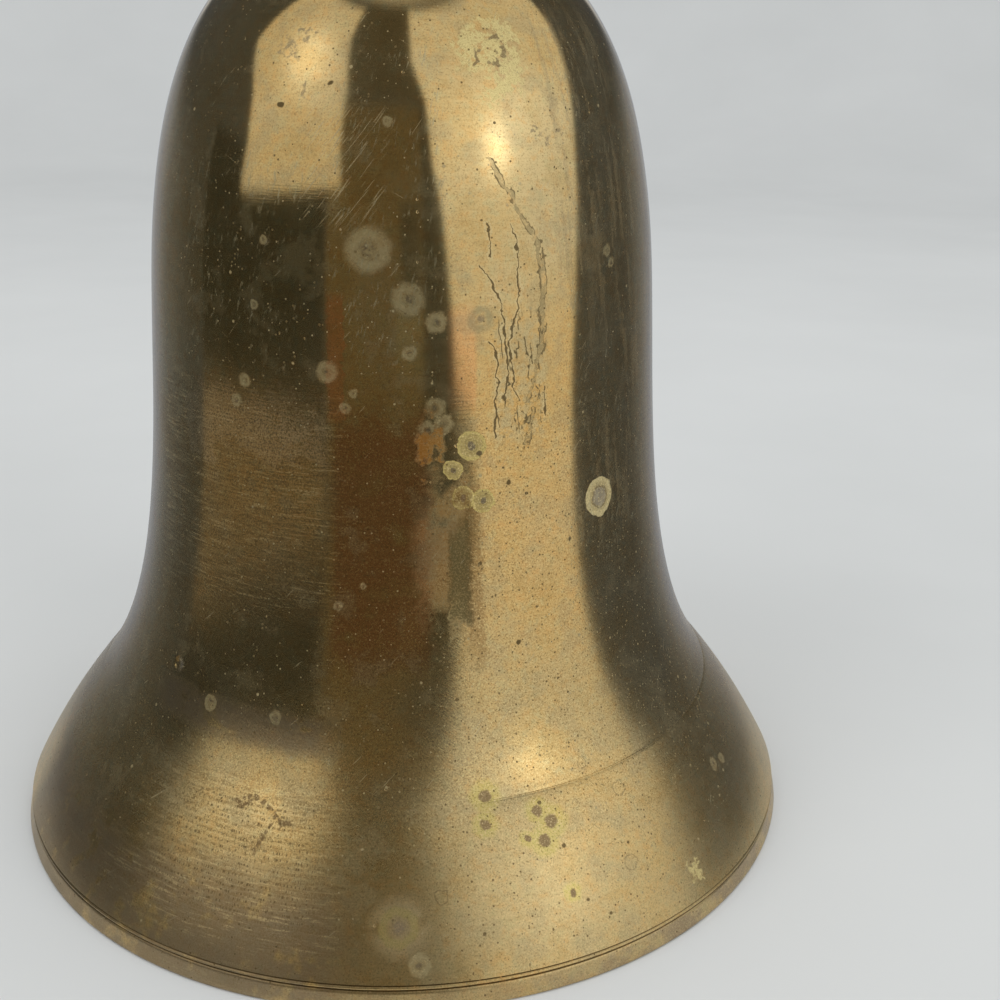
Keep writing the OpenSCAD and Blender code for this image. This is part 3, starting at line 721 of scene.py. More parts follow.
# Crust on the right of the shoulder, soot-grey spatter on both shoulders, and scratches
rough_place = wandering.moved(unrest, 3.5)
crust = nearest(
    rough_place, (17.5, 118.6, 3.0), (22.5, 119.2, 3.4), (24.0, 115.6, 2.4), (20.0, 113.5, 1.6),
    (42.3, 6.8, 1.5)
)
crust_body = crust.step(1.15, 0.85) * mottle.step(0.42, 0.50)
crust_heart = nearest(
    rough_place, (22.2, 119.6, 0.9), (23.6, 118.4, 0.7), (21.8, 117.0, 0.9), (17.2, 117.8, 0.8)
)
soot = nearest(
    rough_place, (-27.2, 118.0, 1.6), (-23.5, 119.8, 1.1), (-21.8, 113.5, 0.9), (-17.0, 113.8, 0.5),
    (28.5, 109.0, 0.7), (31.5, 108.2, 0.8), (35.0, 108.8, 0.7),
)
soot_body = soot.step(1.2, 0.6) * mottle.step(0.42, 0.56)
scratch_steep = slanting(-0.022, 3.4, 0.3).noise(1, 1)
scratch_flat = slanting(0.055, 2.8, 0.5).noise(1, 1)
scuff_zone = most(
    height.span(82, 118, 5) * azimuth.span(-14, 7, 2),
    height.span(79, 104, 4) * azimuth.span(-50, -22, 4),
    height.span(50, 118, 6) * azimuth.span(37, 62, 4),
)
scuffs = slanting(-0.006, 2.3, 0.55).noise(1, 2, 0.7).step(0.56, 0.70) * haze.step(0.36, 0.52) * scuff_zone
strokes = scratch_steep.step(0.58, 0.68) * (height.span(99, 110, 3) * azimuth.span(-19, -5, 3))
scratches = most(scratch_steep.step(0.74, 0.79), scratch_flat.step(0.74, 0.80) * 0.7, strokes)
smear = slanting(0.0015, 0.55, 0.07).moved(unrest, 0.5).noise(1, 2, 0.6)
smears = smear.step(0.44, 0.70) * (height.span(58, 118, 10) * azimuth.span(34, 78, 3))
lathe_zone = most(
    height.span(47, 73, 5) * azimuth.span(-60, -14, 4),
    height.span(8, 22, 4) * azimuth.span(-44, -12, 6) * 0.7, 0.16
)
lathe_marks = lathe_lines.step(0.47, 0.60) * grain.step(0.36, 0.56) * lathe_zone
lathe_glints = lathe_lines.step(0.46, 0.34) * grain.step(0.62, 0.46) * lathe_zone

# Colours laid on in the order in which the marks lie
dark_grain, pale_grain = grain.step(0.53, 0.68), grain.step(0.46, 0.32)
grained = dark_grain.between(1.0, 0.55)
pale_haze = haze.step(0.50, 0.64)
rubbed = most(height.step(66, 84), height.step(22, 11) * 0.75)
rim_film = height.step(2.9, 2.5) * haze.step(0.62, 0.40) * azimuth.step(5, 45).between(0.5, 1.3)
line_dirt = most(height.span(2.72, 2.86, 0.10), height.span(3.48, 3.62, 0.10)) * mottle.step(0.22, 0.44)
colour = metal
for share, tint in (
    (mottle.step(0.47, 0.34) * 0.42, (0.74, 0.43, 0.15)),
    (mottle.step(0.52, 0.66) * 0.50, (0.62, 0.53, 0.27)),
    # copper-red tarnish that is also a painted reflection in front
    (copper_and_front_reflection * 0.90, (0.54, 0.265, 0.105)),
    (ruddy * 0.85, (0.86, 0.42, 0.17)),
    (film * 0.30, (0.40, 0.29, 0.13)),
    (pale_haze * 0.40, (0.44, 0.36, 0.20)),
    (haze.step(0.46, 0.34) * 0.30, (0.50, 0.33, 0.12)),
    (grime * 0.74, (0.215, 0.165, 0.112)),
    (rim_film * 0.62, (0.36, 0.28, 0.19)),
    # painted reflection: the olive-brown strip
    (olive_reflection_strip * 0.60, (0.34, 0.21, 0.085)),
    (smears * 0.45, (0.30, 0.24, 0.14)),
    (lathe_marks * 0.70, (0.27, 0.18, 0.075)),
    (lathe_glints * 0.50, (0.95, 0.74, 0.38)),
    (bared * 0.60, (0.98, 0.74, 0.42)),
    (halo_fringe * 0.55, (0.64, 0.55, 0.15)),
    (flakes * 0.45, (0.52, 0.44, 0.25)),
    (run_mask * grained * mottle.step(0.30, 0.56) * 0.70, (0.32, 0.25, 0.125)),
    # painted highlight beside the cracks
    (hair_lip_highlight * 0.35, (0.78, 0.66, 0.38)),
    (crust_body * grained * 0.8, (0.66, 0.55, 0.24)),
    (crust_heart.step(1.1, 0.6) * 0.85, (0.22, 0.16, 0.08)),
    (soot_body * grained * 0.7, (0.20, 0.15, 0.09)),
    (faint_body * grained, (0.33, 0.28, 0.15)),
    (faint_heart * 0.6, (0.17, 0.13, 0.10)),
    (bloom_haze * 0.45, (0.60, 0.47, 0.27)),
    (bloom_ring * 0.65, (0.46, 0.38, 0.12)),
    (bloom_heart * 0.75, (0.19, 0.14, 0.11)),
    (ring_body * grained * 0.85, (0.39, 0.305, 0.105)),
    (ring.span(0.88, 1, 0.08) * grained * 0.7, (0.60, 0.48, 0.16)),
    (ring.span(0.42, 0.46, 0.05) * 0.6, (0.24, 0.19, 0.07)),
    (ring.step(0.36, 0.22) * 0.85, (0.12, 0.098, 0.07)),
    (oval_body * grained * 0.9, (0.40, 0.33, 0.16)),
    (oval.span(0.80, 0.96, 0.1) * grained * 0.7, (0.55, 0.46, 0.23)),
    (oval.span(0.50, 0.55, 0.05) * 0.8, (0.16, 0.12, 0.06)),
    (oval.step(0.50, 0.44) * 0.85, (0.25, 0.215, 0.16)),
    (halo_heart * 0.85, (0.21, 0.135, 0.075)),
    (branches * 0.88, (0.17, 0.105, 0.045)),
    (outline.span(0.93, 1, 0.09) * 0.5, (0.22, 0.16, 0.08)),
    (dark_grain * rubbed.between(0.85, 0.50), (0.24, 0.165, 0.065)),
    (pale_grain * rubbed.between(0.70, 0.30) * grime.between(1.0, 0.25), (0.86, 0.68, 0.34)),
    # amber tarnish that is also a painted front reflection
    (amber_front_reflection, (0.160, 0.062, 0.006)),
    # painted reflection: the dark strip
    (dark_reflection_strip, (0.088, 0.068, 0.022)),
    (ember * 0.85, (0.28, 0.110, 0.008)),
    (line_dirt * 0.80, (0.085, 0.055, 0.022)),
    (scuffs * 0.55, (0.44, 0.40, 0.25)),
    (dot.step(1, 0.6), (0.14, 0.10, 0.045)),
    (lime * 0.55, (0.32, 0.28, 0.165)),
    (scratches * 0.42, (0.48, 0.42, 0.27)),
    (pitting * 0.85, (0.12, 0.08, 0.030)),
    (fissures * 0.92, (0.115, 0.080, 0.032)),
):
    colour = colour.painted(share, tint)

# Metal turns to dull deposit where the marks are
deposit = most(
    ring_body * 0.70, oval_body * 0.85, faint_body * 0.5, lime * 0.45, dark_reflection_strip * 0.97, amber_front_reflection * 0.85,
    ember * 0.60, scuffs * 0.17, crust_body * 0.45, flakes * 0.20, run_mask * 0.15, soot_body * 0.4,
    pitting * 0.5, fissures * 0.6, scratches * 0.25, halo_heart * 0.5, dark_grain * 0.08,
    pale_grain * 0.02, lathe_marks * 0.10, smears * 0.16, lathe_glints * 0.10, bloom_haze * 0.16,
    bloom_ring * 0.26, bloom_heart * 0.4, pale_haze * 0.07, grime * 0.12, branches * 0.3, 0.025,
)
worn = (height * 0.01).ramp((0.05, 0.31), (0.22, 0.25), (0.34, 0.18), (0.50, 0.14), (0.85, 0.10), (1.0, 0.08))
rough = (deposit * 0.9).between(worn + (cloud - 0.5) * 0.10, 0.55)

# Relief in mm: lathe lines, brushed grain and pits, and one dent on the left of the flare
brushed = slanting(0.03, 3.0, 1.6).noise(1, 1, 0.6) * (0.02 + height.step(66, 44) * 0.7)
dent = nearest(place, (-48.4, 33.9, 1.3)).step(1, 0.2)
relief = lathe_lines * 0.003 + brushed * 0.010 - pits * 0.05 - dent * 0.22
shade(
    brass,
    Base_Color=colour,
    Metallic=1 - deposit,
    Roughness=rough,
    Normal=relief.bump(),
    Specular_IOR_Level=0.2,
)

# Inside: left from the lathe, with coarser rings, dark with age and bright where the clapper has struck
inner, inner_place = surface("bell_inside")
rings = inner_place.stretched((0.02, 0.02, 1.9)).noise(1, 3, 0.65)
inner_cloud = inner_place.noise(0.07, 5, 0.6, 0.5)
inner_fine = inner_place.noise(2.2, 4, 0.7)
tarnish = inner_cloud.ramp((0.32, (0.36, 0.24, 0.11)), (0.5, (0.46, 0.33, 0.16)), (0.66, (0.30, 0.22, 0.12)))
tarnish = tarnish.painted(inner_fine.step(0.50, 0.70) * 0.6, (0.22, 0.165, 0.09))
struck_places = [tuple(np.array(on_bell(side, 15.0)) * (0.9, 1.0, 1.0)) for side in (90.0, -90.0)]
struck = most(*(inner_place.away(spot).step(6, 1) for spot in struck_places)) * inner_fine.step(0.34, 0.56)
shade(
    inner,
    Base_Color=tarnish.painted(struck, (0.80, 0.60, 0.29)),
    Metallic=struck.between(0.82, 0.72),
    Roughness=struck.between(0.36 + inner_cloud * 0.2, 0.22),
    Normal=(rings * 0.02 + inner_fine * 0.012).bump(),
)


def fit(name, mesh, body, slot, stands_for, *materials):
    """Puts a finished piece on its body, with its materials, and hides the nodes that it stands for; slot is not
    used.
    """
    piece = placed(name, mesh, *materials)
    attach(piece, body)
    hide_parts(*stands_for)
    return piece


bell = turned(bell_profile, 256, wobble=hand_turned)
middles = np.empty(len(bell.polygons) * 3)
bell.polygons.foreach_get("center", middles)
middles = middles.reshape(-1, 3) / MM
wall_reach = np.interp(middles[:, 2], smooth_outside[:, 1], smooth_outside[:, 0])
depth = wall_reach - np.hypot(middles[:, 0], middles[:, 1])
is_inside = (depth > 2.5) & (middles[:, 2] < roof_z + 0.1) & (middles[:, 2] > 0.1)
bell.polygons.foreach_set("material_index", is_inside.astype(np.int32))
fit("bell", bell, "bell", "bell_brass", ["bell_shell"], brass, inner)


# Leather washers: one under the handle and one under the crown, punched from vegetable-tanned hide.
# The rod squeezes them, so their edges bulge, and they have darkened with oil and handling.
def rounded(corners, steps=6):
    """Closed profile through corners (radius, height, cut): each is turned by a parabola that starts cut mm
    before it and ends cut mm after it, or nearly half way to the next corner where that is less."""
    corners = np.asarray(corners, float)
    at, cut = corners[:, None, :2], corners[:, None, 2:]
    before, after = np.roll(at, 1, axis=0) - at, np.roll(at, -1, axis=0) - at
    gap_before, gap_after = (np.linalg.norm(gap, axis=-1, keepdims=True) for gap in (before, after))
    start = at + before * np.minimum(cut / gap_before, 0.48)
    end = at + after * np.minimum(cut / gap_after, 0.48)
    t = np.linspace(0.0, 1.0, steps)[None, :, None]
    return ((1 - t) ** 2 * start + 2 * t * (1 - t) * at + t * t * end).reshape(-1, 2)


def squeezed(azimuth, radius, height):
    """Uneven bulge of a pressed edge, in mm, growing outwards from the hole."""
    share = np.clip((radius - 6.0) / 8.0, 0.0, 1.0)
    slow = 0.10 * np.sin(3 * azimuth + 0.6) + 0.06 * np.sin(7 * azimuth + 2.0)
    return share * (slow + 0.03 * np.sin(17 * azimuth))


hide, hide_place = surface("tanned_leather")
hide_cloud = hide_place.noise(0.22, 4, 0.6)
creases = hide_place.seams(2.3)
fibre = hide_place.stretched((0.9, 0.9, 4.5)).noise(1.6, 4, 0.7)
tan = hide_cloud.ramp((0.30, (0.075, 0.034, 0.016)), (0.50, (0.150, 0.072, 0.033)), (0.70, (0.21, 0.110, 0.052)))
tan = tan.painted(creases.step(0.07, 0), (0.045, 0.020, 0.010))
tan = tan.painted(fibre.step(0.52, 0.70) * 0.5, (0.27, 0.160, 0.085))
hide_relief = creases.step(0, 0.12) * 0.05 + fibre * 0.05
shade(hide, Base_Color=tan, Roughness=0.45 + hide_cloud * 0.3, Sheen_Weight=0.08, Normal=hide_relief.bump())

crown_pad_t, inner_pad_t, pad_bulge, pad_cut, pad_hole_cut = 1.8, 1.6, 0.22, 0.45, 0.1
inner_pad_z = roof_z - inner_pad_t
for name, stands_for, pad_r, foot_z, pad_t in (
    ("crown_leather", "crown_washer", 14.5, seat_point[1], crown_pad_t),
    ("inner_leather", "inner_washer", 11.5, inner_pad_z, inner_pad_t),
):
    top_z, face_r = foot_z + pad_t, pad_r - 0.1
    pad = rounded([
        (hole_r, foot_z, pad_hole_cut), (face_r, foot_z, pad_cut),
        (pad_r + pad_bulge, foot_z + pad_t / 2, pad_cut), (face_r, top_z, pad_cut),
        (hole_r, top_z, pad_hole_cut),
    ])
    fit(name, turned(pad, wobble=squeezed), "bell", "leather", [stands_for], hide)


# Collar: a turned brass foot for the handle, hollowed to a waist under a round ring. The tool has left fine
# lines, the cove has kept its tarnish and the edges are rubbed bright.
def turned_brass(name, tarnish_in):
    """Finish of a small turned piece: lines round its axis, tarnish within a radius, stains and nicks."""
    made, spot = surface(name)
    cloud = spot.noise(0.13, 4, 0.62, 0.5)
    stain = spot.noise(0.75, 4, 0.68)
    lines = spot.stretched((0.02, 0.02, 4.6)).noise(1, 2, 0.6)
    nick, fate = spot.cells(0.9)
    nick = nick.step(fate.parts()[0] * 0.15, 0)
    sheltered = spot.from_axis().step(tarnish_in + 2.2, tarnish_in) * stain.step(0.34, 0.58)
    tone = cloud.ramp((0.34, (0.62, 0.42, 0.18)), (0.50, (0.70, 0.50, 0.23)), (0.64, (0.66, 0.50, 0.26)))
    tone = tone.painted(sheltered * 0.75, (0.24, 0.155, 0.070))
    tone = tone.painted(stain.step(0.60, 0.72) * 0.55, (0.33, 0.26, 0.13))
    return shade(
        made,
        Base_Color=tone.painted(nick, (0.10, 0.07, 0.035)),
        Metallic=sheltered.between(1.0, 0.82),
        Roughness=sheltered.between(0.17 + cloud * 0.12, 0.42),
        Normal=(lines * 0.010 - nick * 0.05).bump(),
    )


collar_z, collar_foot_r, collar_waist_r, collar_ring_r = seat_point[1] + crown_pad_t, 13.5, 8.5, 12.5
foot_edge, ring_edge, collar_h = 1.3, 1.5, 14.0
cove_middle = (collar_waist_r, (2 * foot_edge + collar_h - 2 * ring_edge) / 2)
collar = np.concatenate([
    [(hole_r, 0.0)],
    arc((collar_foot_r - foot_edge, foot_edge), foot_edge, -90, 90, 22),
    cubic([(12.2, 2 * foot_edge), (collar_waist_r, 3.6), (collar_waist_r, cove_middle[1]), cove_middle], 24)[1:],
    cubic([cove_middle, (collar_waist_r, 7.8), (collar_waist_r, 10.0), (11.0, 11.0)], 24)[1:],
    arc((collar_ring_r - ring_edge, collar_h - ring_edge), ring_edge, -90, 90, 22),
    [(hole_r, collar_h)],
]) + (0.0, collar_z)
collar_brass = turned_brass("collar_brass", collar_waist_r + 0.4)
fit("collar", turned(collar), "bell", "fitting_brass", ["handle_collar"], collar_brass)


# Ferrule: a drawn brass tube pressed on the foot of the grip, flared where it seats on the collar,
# with a rolled upper edge and two turned lines.
grip_z, grip_end_r, fixed_fit, ferrule_h, ferrule_wall = collar_z + collar_h, 10.0, 0.04, 9.0, 1.1
cut_w, cut_depth = 0.4, 0.14
ferrule_r = grip_end_r + fixed_fit
shoulder_r = ferrule_r + ferrule_wall
ferrule = np.concatenate([
    [(ferrule_r, 0.0), (ferrule_r + ferrule_wall * 1.3, 0.0), (ferrule_r + ferrule_wall * 1.4, 0.12)],
    [(shoulder_r, ferrule_wall), (shoulder_r, 6.0)],
    scribed((shoulder_r, 6.1), cut_depth, cut_w, 9),
    scribed((shoulder_r, 6.9), cut_depth, cut_w, 9),
    arc((ferrule_r + ferrule_wall / 2, ferrule_h - ferrule_wall / 2), ferrule_wall / 2, 0, 90, 12),
    [(ferrule_r, ferrule_h)],
]) + (0.0, grip_z)
ferrule_brass = turned_brass("ferrule_brass", 8.0)
fit("ferrule", turned(ferrule), "bell", "fitting_brass", ["grip_ferrule"], ferrule_brass)


# Grip: a dark hardwood handle turned between centres, with a bead at each shoulder and a belly for the palm.
# It is oiled, open in the pores, and rubbed lighter where a hand has held it.
def bead_round(middle, half, out):
    """Turned bead on the shoulder: half an ellipse about a height, half mm to each side and out mm proud."""
    t = np.radians(np.linspace(-90.0, 90.0, 19))
    return np.stack([shoulder_r + out * np.cos(t), middle + half * np.sin(t)], -1)


grip_len, cap_depth, bead_half, bead_out, grip_bore, tuck = 103.0, 6.0, 2.0, 1.2, 4.4, 0.05
neck, belly, top_neck = (9.7, 25.0), (15.5, 66.0), (11.2, 93.0)
swell = (belly[1] - neck[1]) * 0.45
under_cap = grip_len - cap_depth
grip = np.concatenate([
    [(grip_bore, 0.0), (grip_end_r, 0.0)],
    [(grip_end_r, ferrule_h - 0.02), (shoulder_r - tuck, ferrule_h - 0.02)],
    bead_round(ferrule_h + bead_half, bead_half, bead_out),
    cubic([(shoulder_r, 13.0), (neck[0], 15.0), (neck[0], 19.0), neck], 44)[1:],
    cubic([neck, (neck[0], neck[1] + swell), (belly[0], belly[1] - swell), belly], 80)[1:],
    cubic([belly, (belly[0], 77.0), (top_neck[0] + 1.0, 86.0), top_neck], 60)[1:],
    bead_round(under_cap - bead_half, bead_half, bead_out),
    [(shoulder_r - tuck, under_cap), (grip_end_r, under_cap), (grip_end_r, grip_len), (grip_bore, grip_len)],
])
for line_h in (18.6, 20.2, 88.6):
    grip[:, 0] -= 0.28 * np.exp(-((grip[:, 1] - line_h) / 0.30) ** 2) * (grip[:, 0] > neck[0] - 0.5)

wood, wood_place = surface("oiled_hardwood")
warp = wood_place.stretched((1.0, 1.0, 0.12)).unrest(0.09, 3, 0.5)
side, back, up = wood_place.moved(warp, 9.0).stretched((1.0, 1.0, 0.10), (0.06, 0.09, 0.0)).parts()
year = (joined(side - 14, back - 9, up * 0.25).away((0.0, 0.0, 0.0)) * 0.62).math("FRACT")
late = year.step(0.35, 0.86) * year.step(1, 0.90)
fibre = wood_place.stretched((1.0, 1.0, 0.045)).noise(1.9, 4, 0.65)
pores, fate = wood_place.stretched((1.0, 1.0, 0.085)).cells(2.7)
pores = pores.step(fate.parts()[1] * 0.26, 0.06)
held = wood_place.parts()[2].span(190, 232, 22) * wood_place.noise(0.06, 3, 0.55).step(0.40, 0.62)
knocks = wood_place.noise(0.33, 3, 0.6).step(0.66, 0.72)
timber = fibre.ramp((0.32, (0.050, 0.019, 0.009)), (0.50, (0.105, 0.043, 0.018)), (0.68, (0.165, 0.074, 0.030)))
timber = timber.painted(late * 0.62, (0.034, 0.013, 0.007))
timber = timber.painted(held * 0.45, (0.27, 0.135, 0.060))
timber = timber.painted(pores * 0.75, (0.022, 0.010, 0.006))
timber = timber.painted(knocks * 0.4, (0.022, 0.010, 0.006))
shade(
    wood,
    Base_Color=timber,
    Roughness=held.between(0.36 + fibre * 0.2, 0.30),
    Normal=(fibre * 0.020 - pores * 0.07 - knocks * 0.08).bump(),
    Coat_Weight=0.35,
    Coat_Roughness=0.20,
)
fit("grip", turned(grip + (0.0, grip_z)), "bell", "grip_wood", ["handle_grip"], wood)


# Cap: a brass cup turned to fit the top of the grip, with a line near its lower edge and a flat for the knob.
# It sits on the grip's top shoulder, and the knob above it presses it down.
cap_z, cap_side_r, cap_flat_r, cap_h, cap_edge = grip_z + under_cap, 11.24, 8.0, 9.4, 0.3
cap = np.concatenate([
    [(grip_bore, cap_depth), (ferrule_r, cap_depth), (ferrule_r, 0.15), (ferrule_r + 0.15, 0.0)],
    arc((cap_side_r - cap_edge, cap_edge), cap_edge, -90, 0, 6),
    scribed((cap_side_r, 1.3), cut_depth, cut_w, 9),
    cubic([(cap_side_r, 5.0), (cap_side_r, 8.04), (cap_flat_r + 2.0, cap_h), (cap_flat_r, cap_h)], 30),
    [(grip_bore, cap_h)],
]) + (0.0, cap_z)
fit("cap", turned(cap), "bell", "fitting_brass", ["grip_cap"], turned_brass("cap_brass", 8.4))


# Knob: the turned brass finial that screws on the rod and draws the handle together: foot, neck and ball.
# Its ball is the brightest of the fittings, with a small centre mark at the top.
knob_z, knob_foot_r, knob_edge, knob_neck_r, knob_r, knob_ball_z = cap_z + cap_h, 7.5, 1.0, 5.7, 7.7, 9.2
knob_thread, rod_fit, lead_in = 10.0, 4.04, 0.3
meet = np.degrees(np.arcsin(knob_neck_r / knob_r)) - 90.0
knob_face_r, knob_top = knob_foot_r - knob_edge, knob_ball_z + knob_r
knob = np.concatenate([
    [(0.0, knob_thread), (rod_fit, knob_thread), (rod_fit, lead_in), (rod_fit + lead_in, 0.0)],
    arc((knob_face_r, knob_edge), knob_edge, -90, 90, 20),
    cubic([(knob_face_r - 0.2, 2.0), (5.9, 2.05), (knob_neck_r, 2.3), (knob_neck_r, 2.9)], 10),
    arc((0.0, knob_ball_z), knob_r, meet, 86.0, 56),
    [(0.30, knob_top - 0.02), (0.0, knob_top - 0.30)],
]) + (0.0, knob_z)
fit("knob", turned(knob, loop=False), "bell", "fitting_brass", ["finial_knob"], turned_brass("knob_brass", 6.0))


# Rod, nuts and washer: mild steel from stock, turned and tapped, dulled by oil and freckled with a little rust.
# The rod is in sight only between the nuts and the yoke, and keeps its plain shape.
def steel(name, dark, light, shine, line_way):
    """Finish of a steel piece: two greys, tool lines along one way, oil stains and rust freckles."""
    made, spot = surface(name)
    cloud = spot.noise(0.28, 4, 0.62, 0.4)
    lines = spot.stretched(line_way).noise(1, 3, 0.6)
    freckle = spot.noise(1.3, 4, 0.7).step(0.58, 0.68) * cloud.step(0.46, 0.60)
    tone = cloud.ramp((0.34, dark), (0.62, light)).painted(lines.step(0.50, 0.75) * 0.25, light)
    return shade(
        made,
        Base_Color=tone.painted(freckle * 0.8, (0.13, 0.062, 0.028)),
        Metallic=freckle.between(1.0, 0.25),
        Roughness=freckle.between(shine + cloud * 0.16, 0.72),
        Normal=(lines * 0.012 + freckle * 0.02).bump(),
    )


nut_steel = steel("nut_steel", (0.20, 0.205, 0.21), (0.36, 0.365, 0.37), 0.26, (0.9, 0.9, 3.0))
bright_steel = steel("bright_steel", (0.42, 0.425, 0.43), (0.56, 0.56, 0.56), 0.20, (0.03, 0.03, 4.0))
forged_steel = steel("forged_steel", (0.13, 0.132, 0.136), (0.27, 0.27, 0.275), 0.34, (1.3, 1.3, 0.25))


def hexed(across):
    """Cuts a turned shape to a hexagon with corners on the X axis: no radius passes the flat on its side."""
    def cut(azimuth, radius, height):
        from_flat = np.mod(azimuth - np.pi / 2, np.pi / 3) - np.pi / 6
        return np.minimum(radius, across / 2 / np.cos(from_flat)) - radius
    return cut


def nut(across, height, bore, foot_z):
    """Chamfered hexagon nut: the blank is a cylinder through the corners, coned at both faces to the flats."""
    half, corner, lead = across / 2, across / 3 ** 0.5, 0.35
    cone = (corner - half) * 0.6
    blank = np.concatenate([
        [(bore, lead), (bore + lead, 0.0), (half - 0.15, 0.0)],
        np.linspace((half - 0.05, 0.03), (corner, cone + 0.03), 12),
        np.linspace((corner, cone + 0.2), (corner, height - cone - 0.2), 3),
        np.linspace((corner, height - cone - 0.03), (half - 0.05, height - 0.03), 12),
        [(half - 0.15, height), (bore + lead, height), (bore, height - lead)],
    ]) + (0.0, foot_z)
    return turned(blank, wobble=hexed(across))


washer_r, washer_t, nut_across, upper_nut_h, lower_nut_h = 10.5, 1.6, 13.0, 6.5, 4.0
washer_z = inner_pad_z - washer_t
upper_nut_z = washer_z - upper_nut_h
lower_nut_z = upper_nut_z - lower_nut_h
washer = rounded([
    (hole_r, washer_z, 0.15), (washer_r, washer_z, 0.35), (washer_r, inner_pad_z, 0.25),
    (hole_r, inner_pad_z, 0.15)
])
fit("clamping_washer", turned(washer), "bell", "steel", ["clamp_washer"], bright_steel)
for name, stands_for, nut_h, nut_z in (
    ("upper_nut", "crown_nut", upper_nut_h, upper_nut_z),
    ("lower_nut", "yoke_lock_nut", lower_nut_h, lower_nut_z),
):
    fit(name, nut(nut_across, nut_h, rod_fit, nut_z), "bell", "steel", [stands_for], nut_steel)
rod_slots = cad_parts["tie_rod"].data.materials
rod_slots.clear()
rod_slots.append(nut_steel)


# Yoke: a steel boss screwed on the foot of the rod, sawn and filed to two cheeks that hold the pin.
# Each cheek is a plate about the pin's axis, round below and square where it runs into the boss.
def together(*meshes):
    """One mesh from several closed ones."""
    work = bmesh.new()
    for mesh in meshes:
        work.from_mesh(mesh)
    return smoothed(work, bpy.data.meshes.new("together"))


boss_top, boss_r = lower_nut_z, 7.6
rod_foot_z = boss_top - 7.0
slot_z = rod_foot_z - 3.0
pivot_z = slot_z - 6.2
pin_fit, cheek_r, cheek_top, slot_half, cheek_y, cheek_half = 2.04, 4.5, 7.7, 3.1, 6.1, 1.5


def cheek_outline(azimuth, radius, height):
    """Stretches a disc about the pin to the cheek: square above the pin, round below, unchanged at the hole."""
    upward, sideways = np.cos(azimuth), np.abs(np.sin(azimuth))
    square = np.minimum(cheek_r / np.maximum(sideways, 1e-6), cheek_top / np.maximum(upward, 1e-6))
    reach = np.where(upward > 0.0, square, cheek_r)
    return np.clip((radius - pin_fit) / (cheek_r - pin_fit), 0.0, 1.0) * (reach - cheek_r)


boss = rounded([
    (0.0, slot_z, 0.0), (boss_r, slot_z, 0.5), (boss_r, boss_top, 0.5), (rod_fit, boss_top, 0.3),
    (rod_fit, rod_foot_z, 0.0), (0.0, rod_foot_z, 0.0),
])
cheek = rounded([
    (pin_fit, -cheek_half, 0.2), (cheek_r, -cheek_half, 0.4), (cheek_r, cheek_half, 0.4),
    (pin_fit, cheek_half, 0.2)
])
cheeks = [
    turned(cheek + (0.0, side * (slot_half + cheek_y) / 2), lie_at=pivot_z, wobble=cheek_outline)
    for side in (-1, 1)
]
fit("yoke", together(turned(boss, loop=False), *cheeks), "bell", "steel", ["clapper_yoke"], nut_steel)


# Pin: a headed steel pin through both cheeks, with a washer on its tail and a split pin through the tail's end.
# The split pin is one half-round wire, folded round its eye, pushed through and spread below.
pin_r, pin_head_r, pin_head_t, pin_end_y, tail_r, tail_t = 2.0, 3.5, 1.6, 10.3, 4.0, 0.8
head_y = -cheek_y - pin_head_t
pin = np.concatenate([
    [(0.0, head_y)],
    cubic([
        (pin_head_r * 0.5, head_y), (pin_head_r - 0.4, head_y + 0.04), (pin_head_r, head_y + 0.3),
        (pin_head_r, head_y + 0.7),
    ], 14),
    rounded([
        (pin_head_r, -cheek_y - 0.3, 0.2), (pin_head_r, -cheek_y, 0.2), (pin_r, -cheek_y, 0.1),
        (pin_r, -cheek_y + 0.5, 0.1),
    ])[6:-6],
    [(pin_r, -cheek_y + 0.6), (pin_r, pin_end_y - 0.5), (pin_r - 0.45, pin_end_y), (0.0, pin_end_y)],
])
fit("hinge_pin", turned(pin, 96, loop=False, lie_at=pivot_z), "bell", "steel", ["clapper_pin"], bright_steel)
tail = rounded([
    (pin_fit, cheek_y, 0.1), (tail_r, cheek_y, 0.2), (tail_r, cheek_y + tail_t, 0.25),
    (pin_fit, cheek_y + tail_t, 0.1)
])
fit("tail_washer", turned(tail, 96, lie_at=pivot_z), "bell", "steel", ["pin_washer"], bright_steel)


def swept(path, across, deep, at_y, sides=20):
    """Wire along a path of (x, height) in mm: an ellipse of half axes across and deep, closed at both ends."""
    path = np.asarray(path, float)
    way = np.gradient(path, axis=0)
    way /= np.linalg.norm(way, axis=1)[:, None]
    size = np.concatenate([[0.0, 0.85], np.ones(len(path) - 2), [0.85, 0.0]])[:, None]
    path, way = (np.concatenate([values[:1], values, values[-1:]]) for values in (path, way))
    t = np.arange(sides) / sides * 2.0 * np.pi
    off = np.cos(t) * across * size
    x = path[:, :1] + off * way[:, 1:]
    z = path[:, 1:] - off * way[:, :1]
    y = at_y + np.sin(t) * deep * size
    return skin(np.stack([x, y, z], -1) * MM)


wire_x, wire_across, wire_deep, eye_r, split_y = 0.33, 0.31, 0.60, 1.3, 7.59
eye_z = pivot_z + pin_r + eye_r + 0.65
neck_turn = np.degrees(np.arcsin(wire_x / eye_r))
leg = cubic([(-2.0, -6.0), (-1.25, -4.7), (-wire_x, -4.2), (-wire_x, -3.1)], 14) + (0.0, pivot_z)
loop = arc((0.0, eye_z), eye_r, 270 - neck_turn, -90 + neck_turn, 44)
wire = np.concatenate([leg, np.linspace(leg[-1], loop[0], 8)[1:-1], loop, (leg * (-1.0, 1.0))[::-1]])
fit("split_wire", swept(wire, wire_across, wire_deep, split_y), "bell", "steel", ["split_pin"], bright_steel)


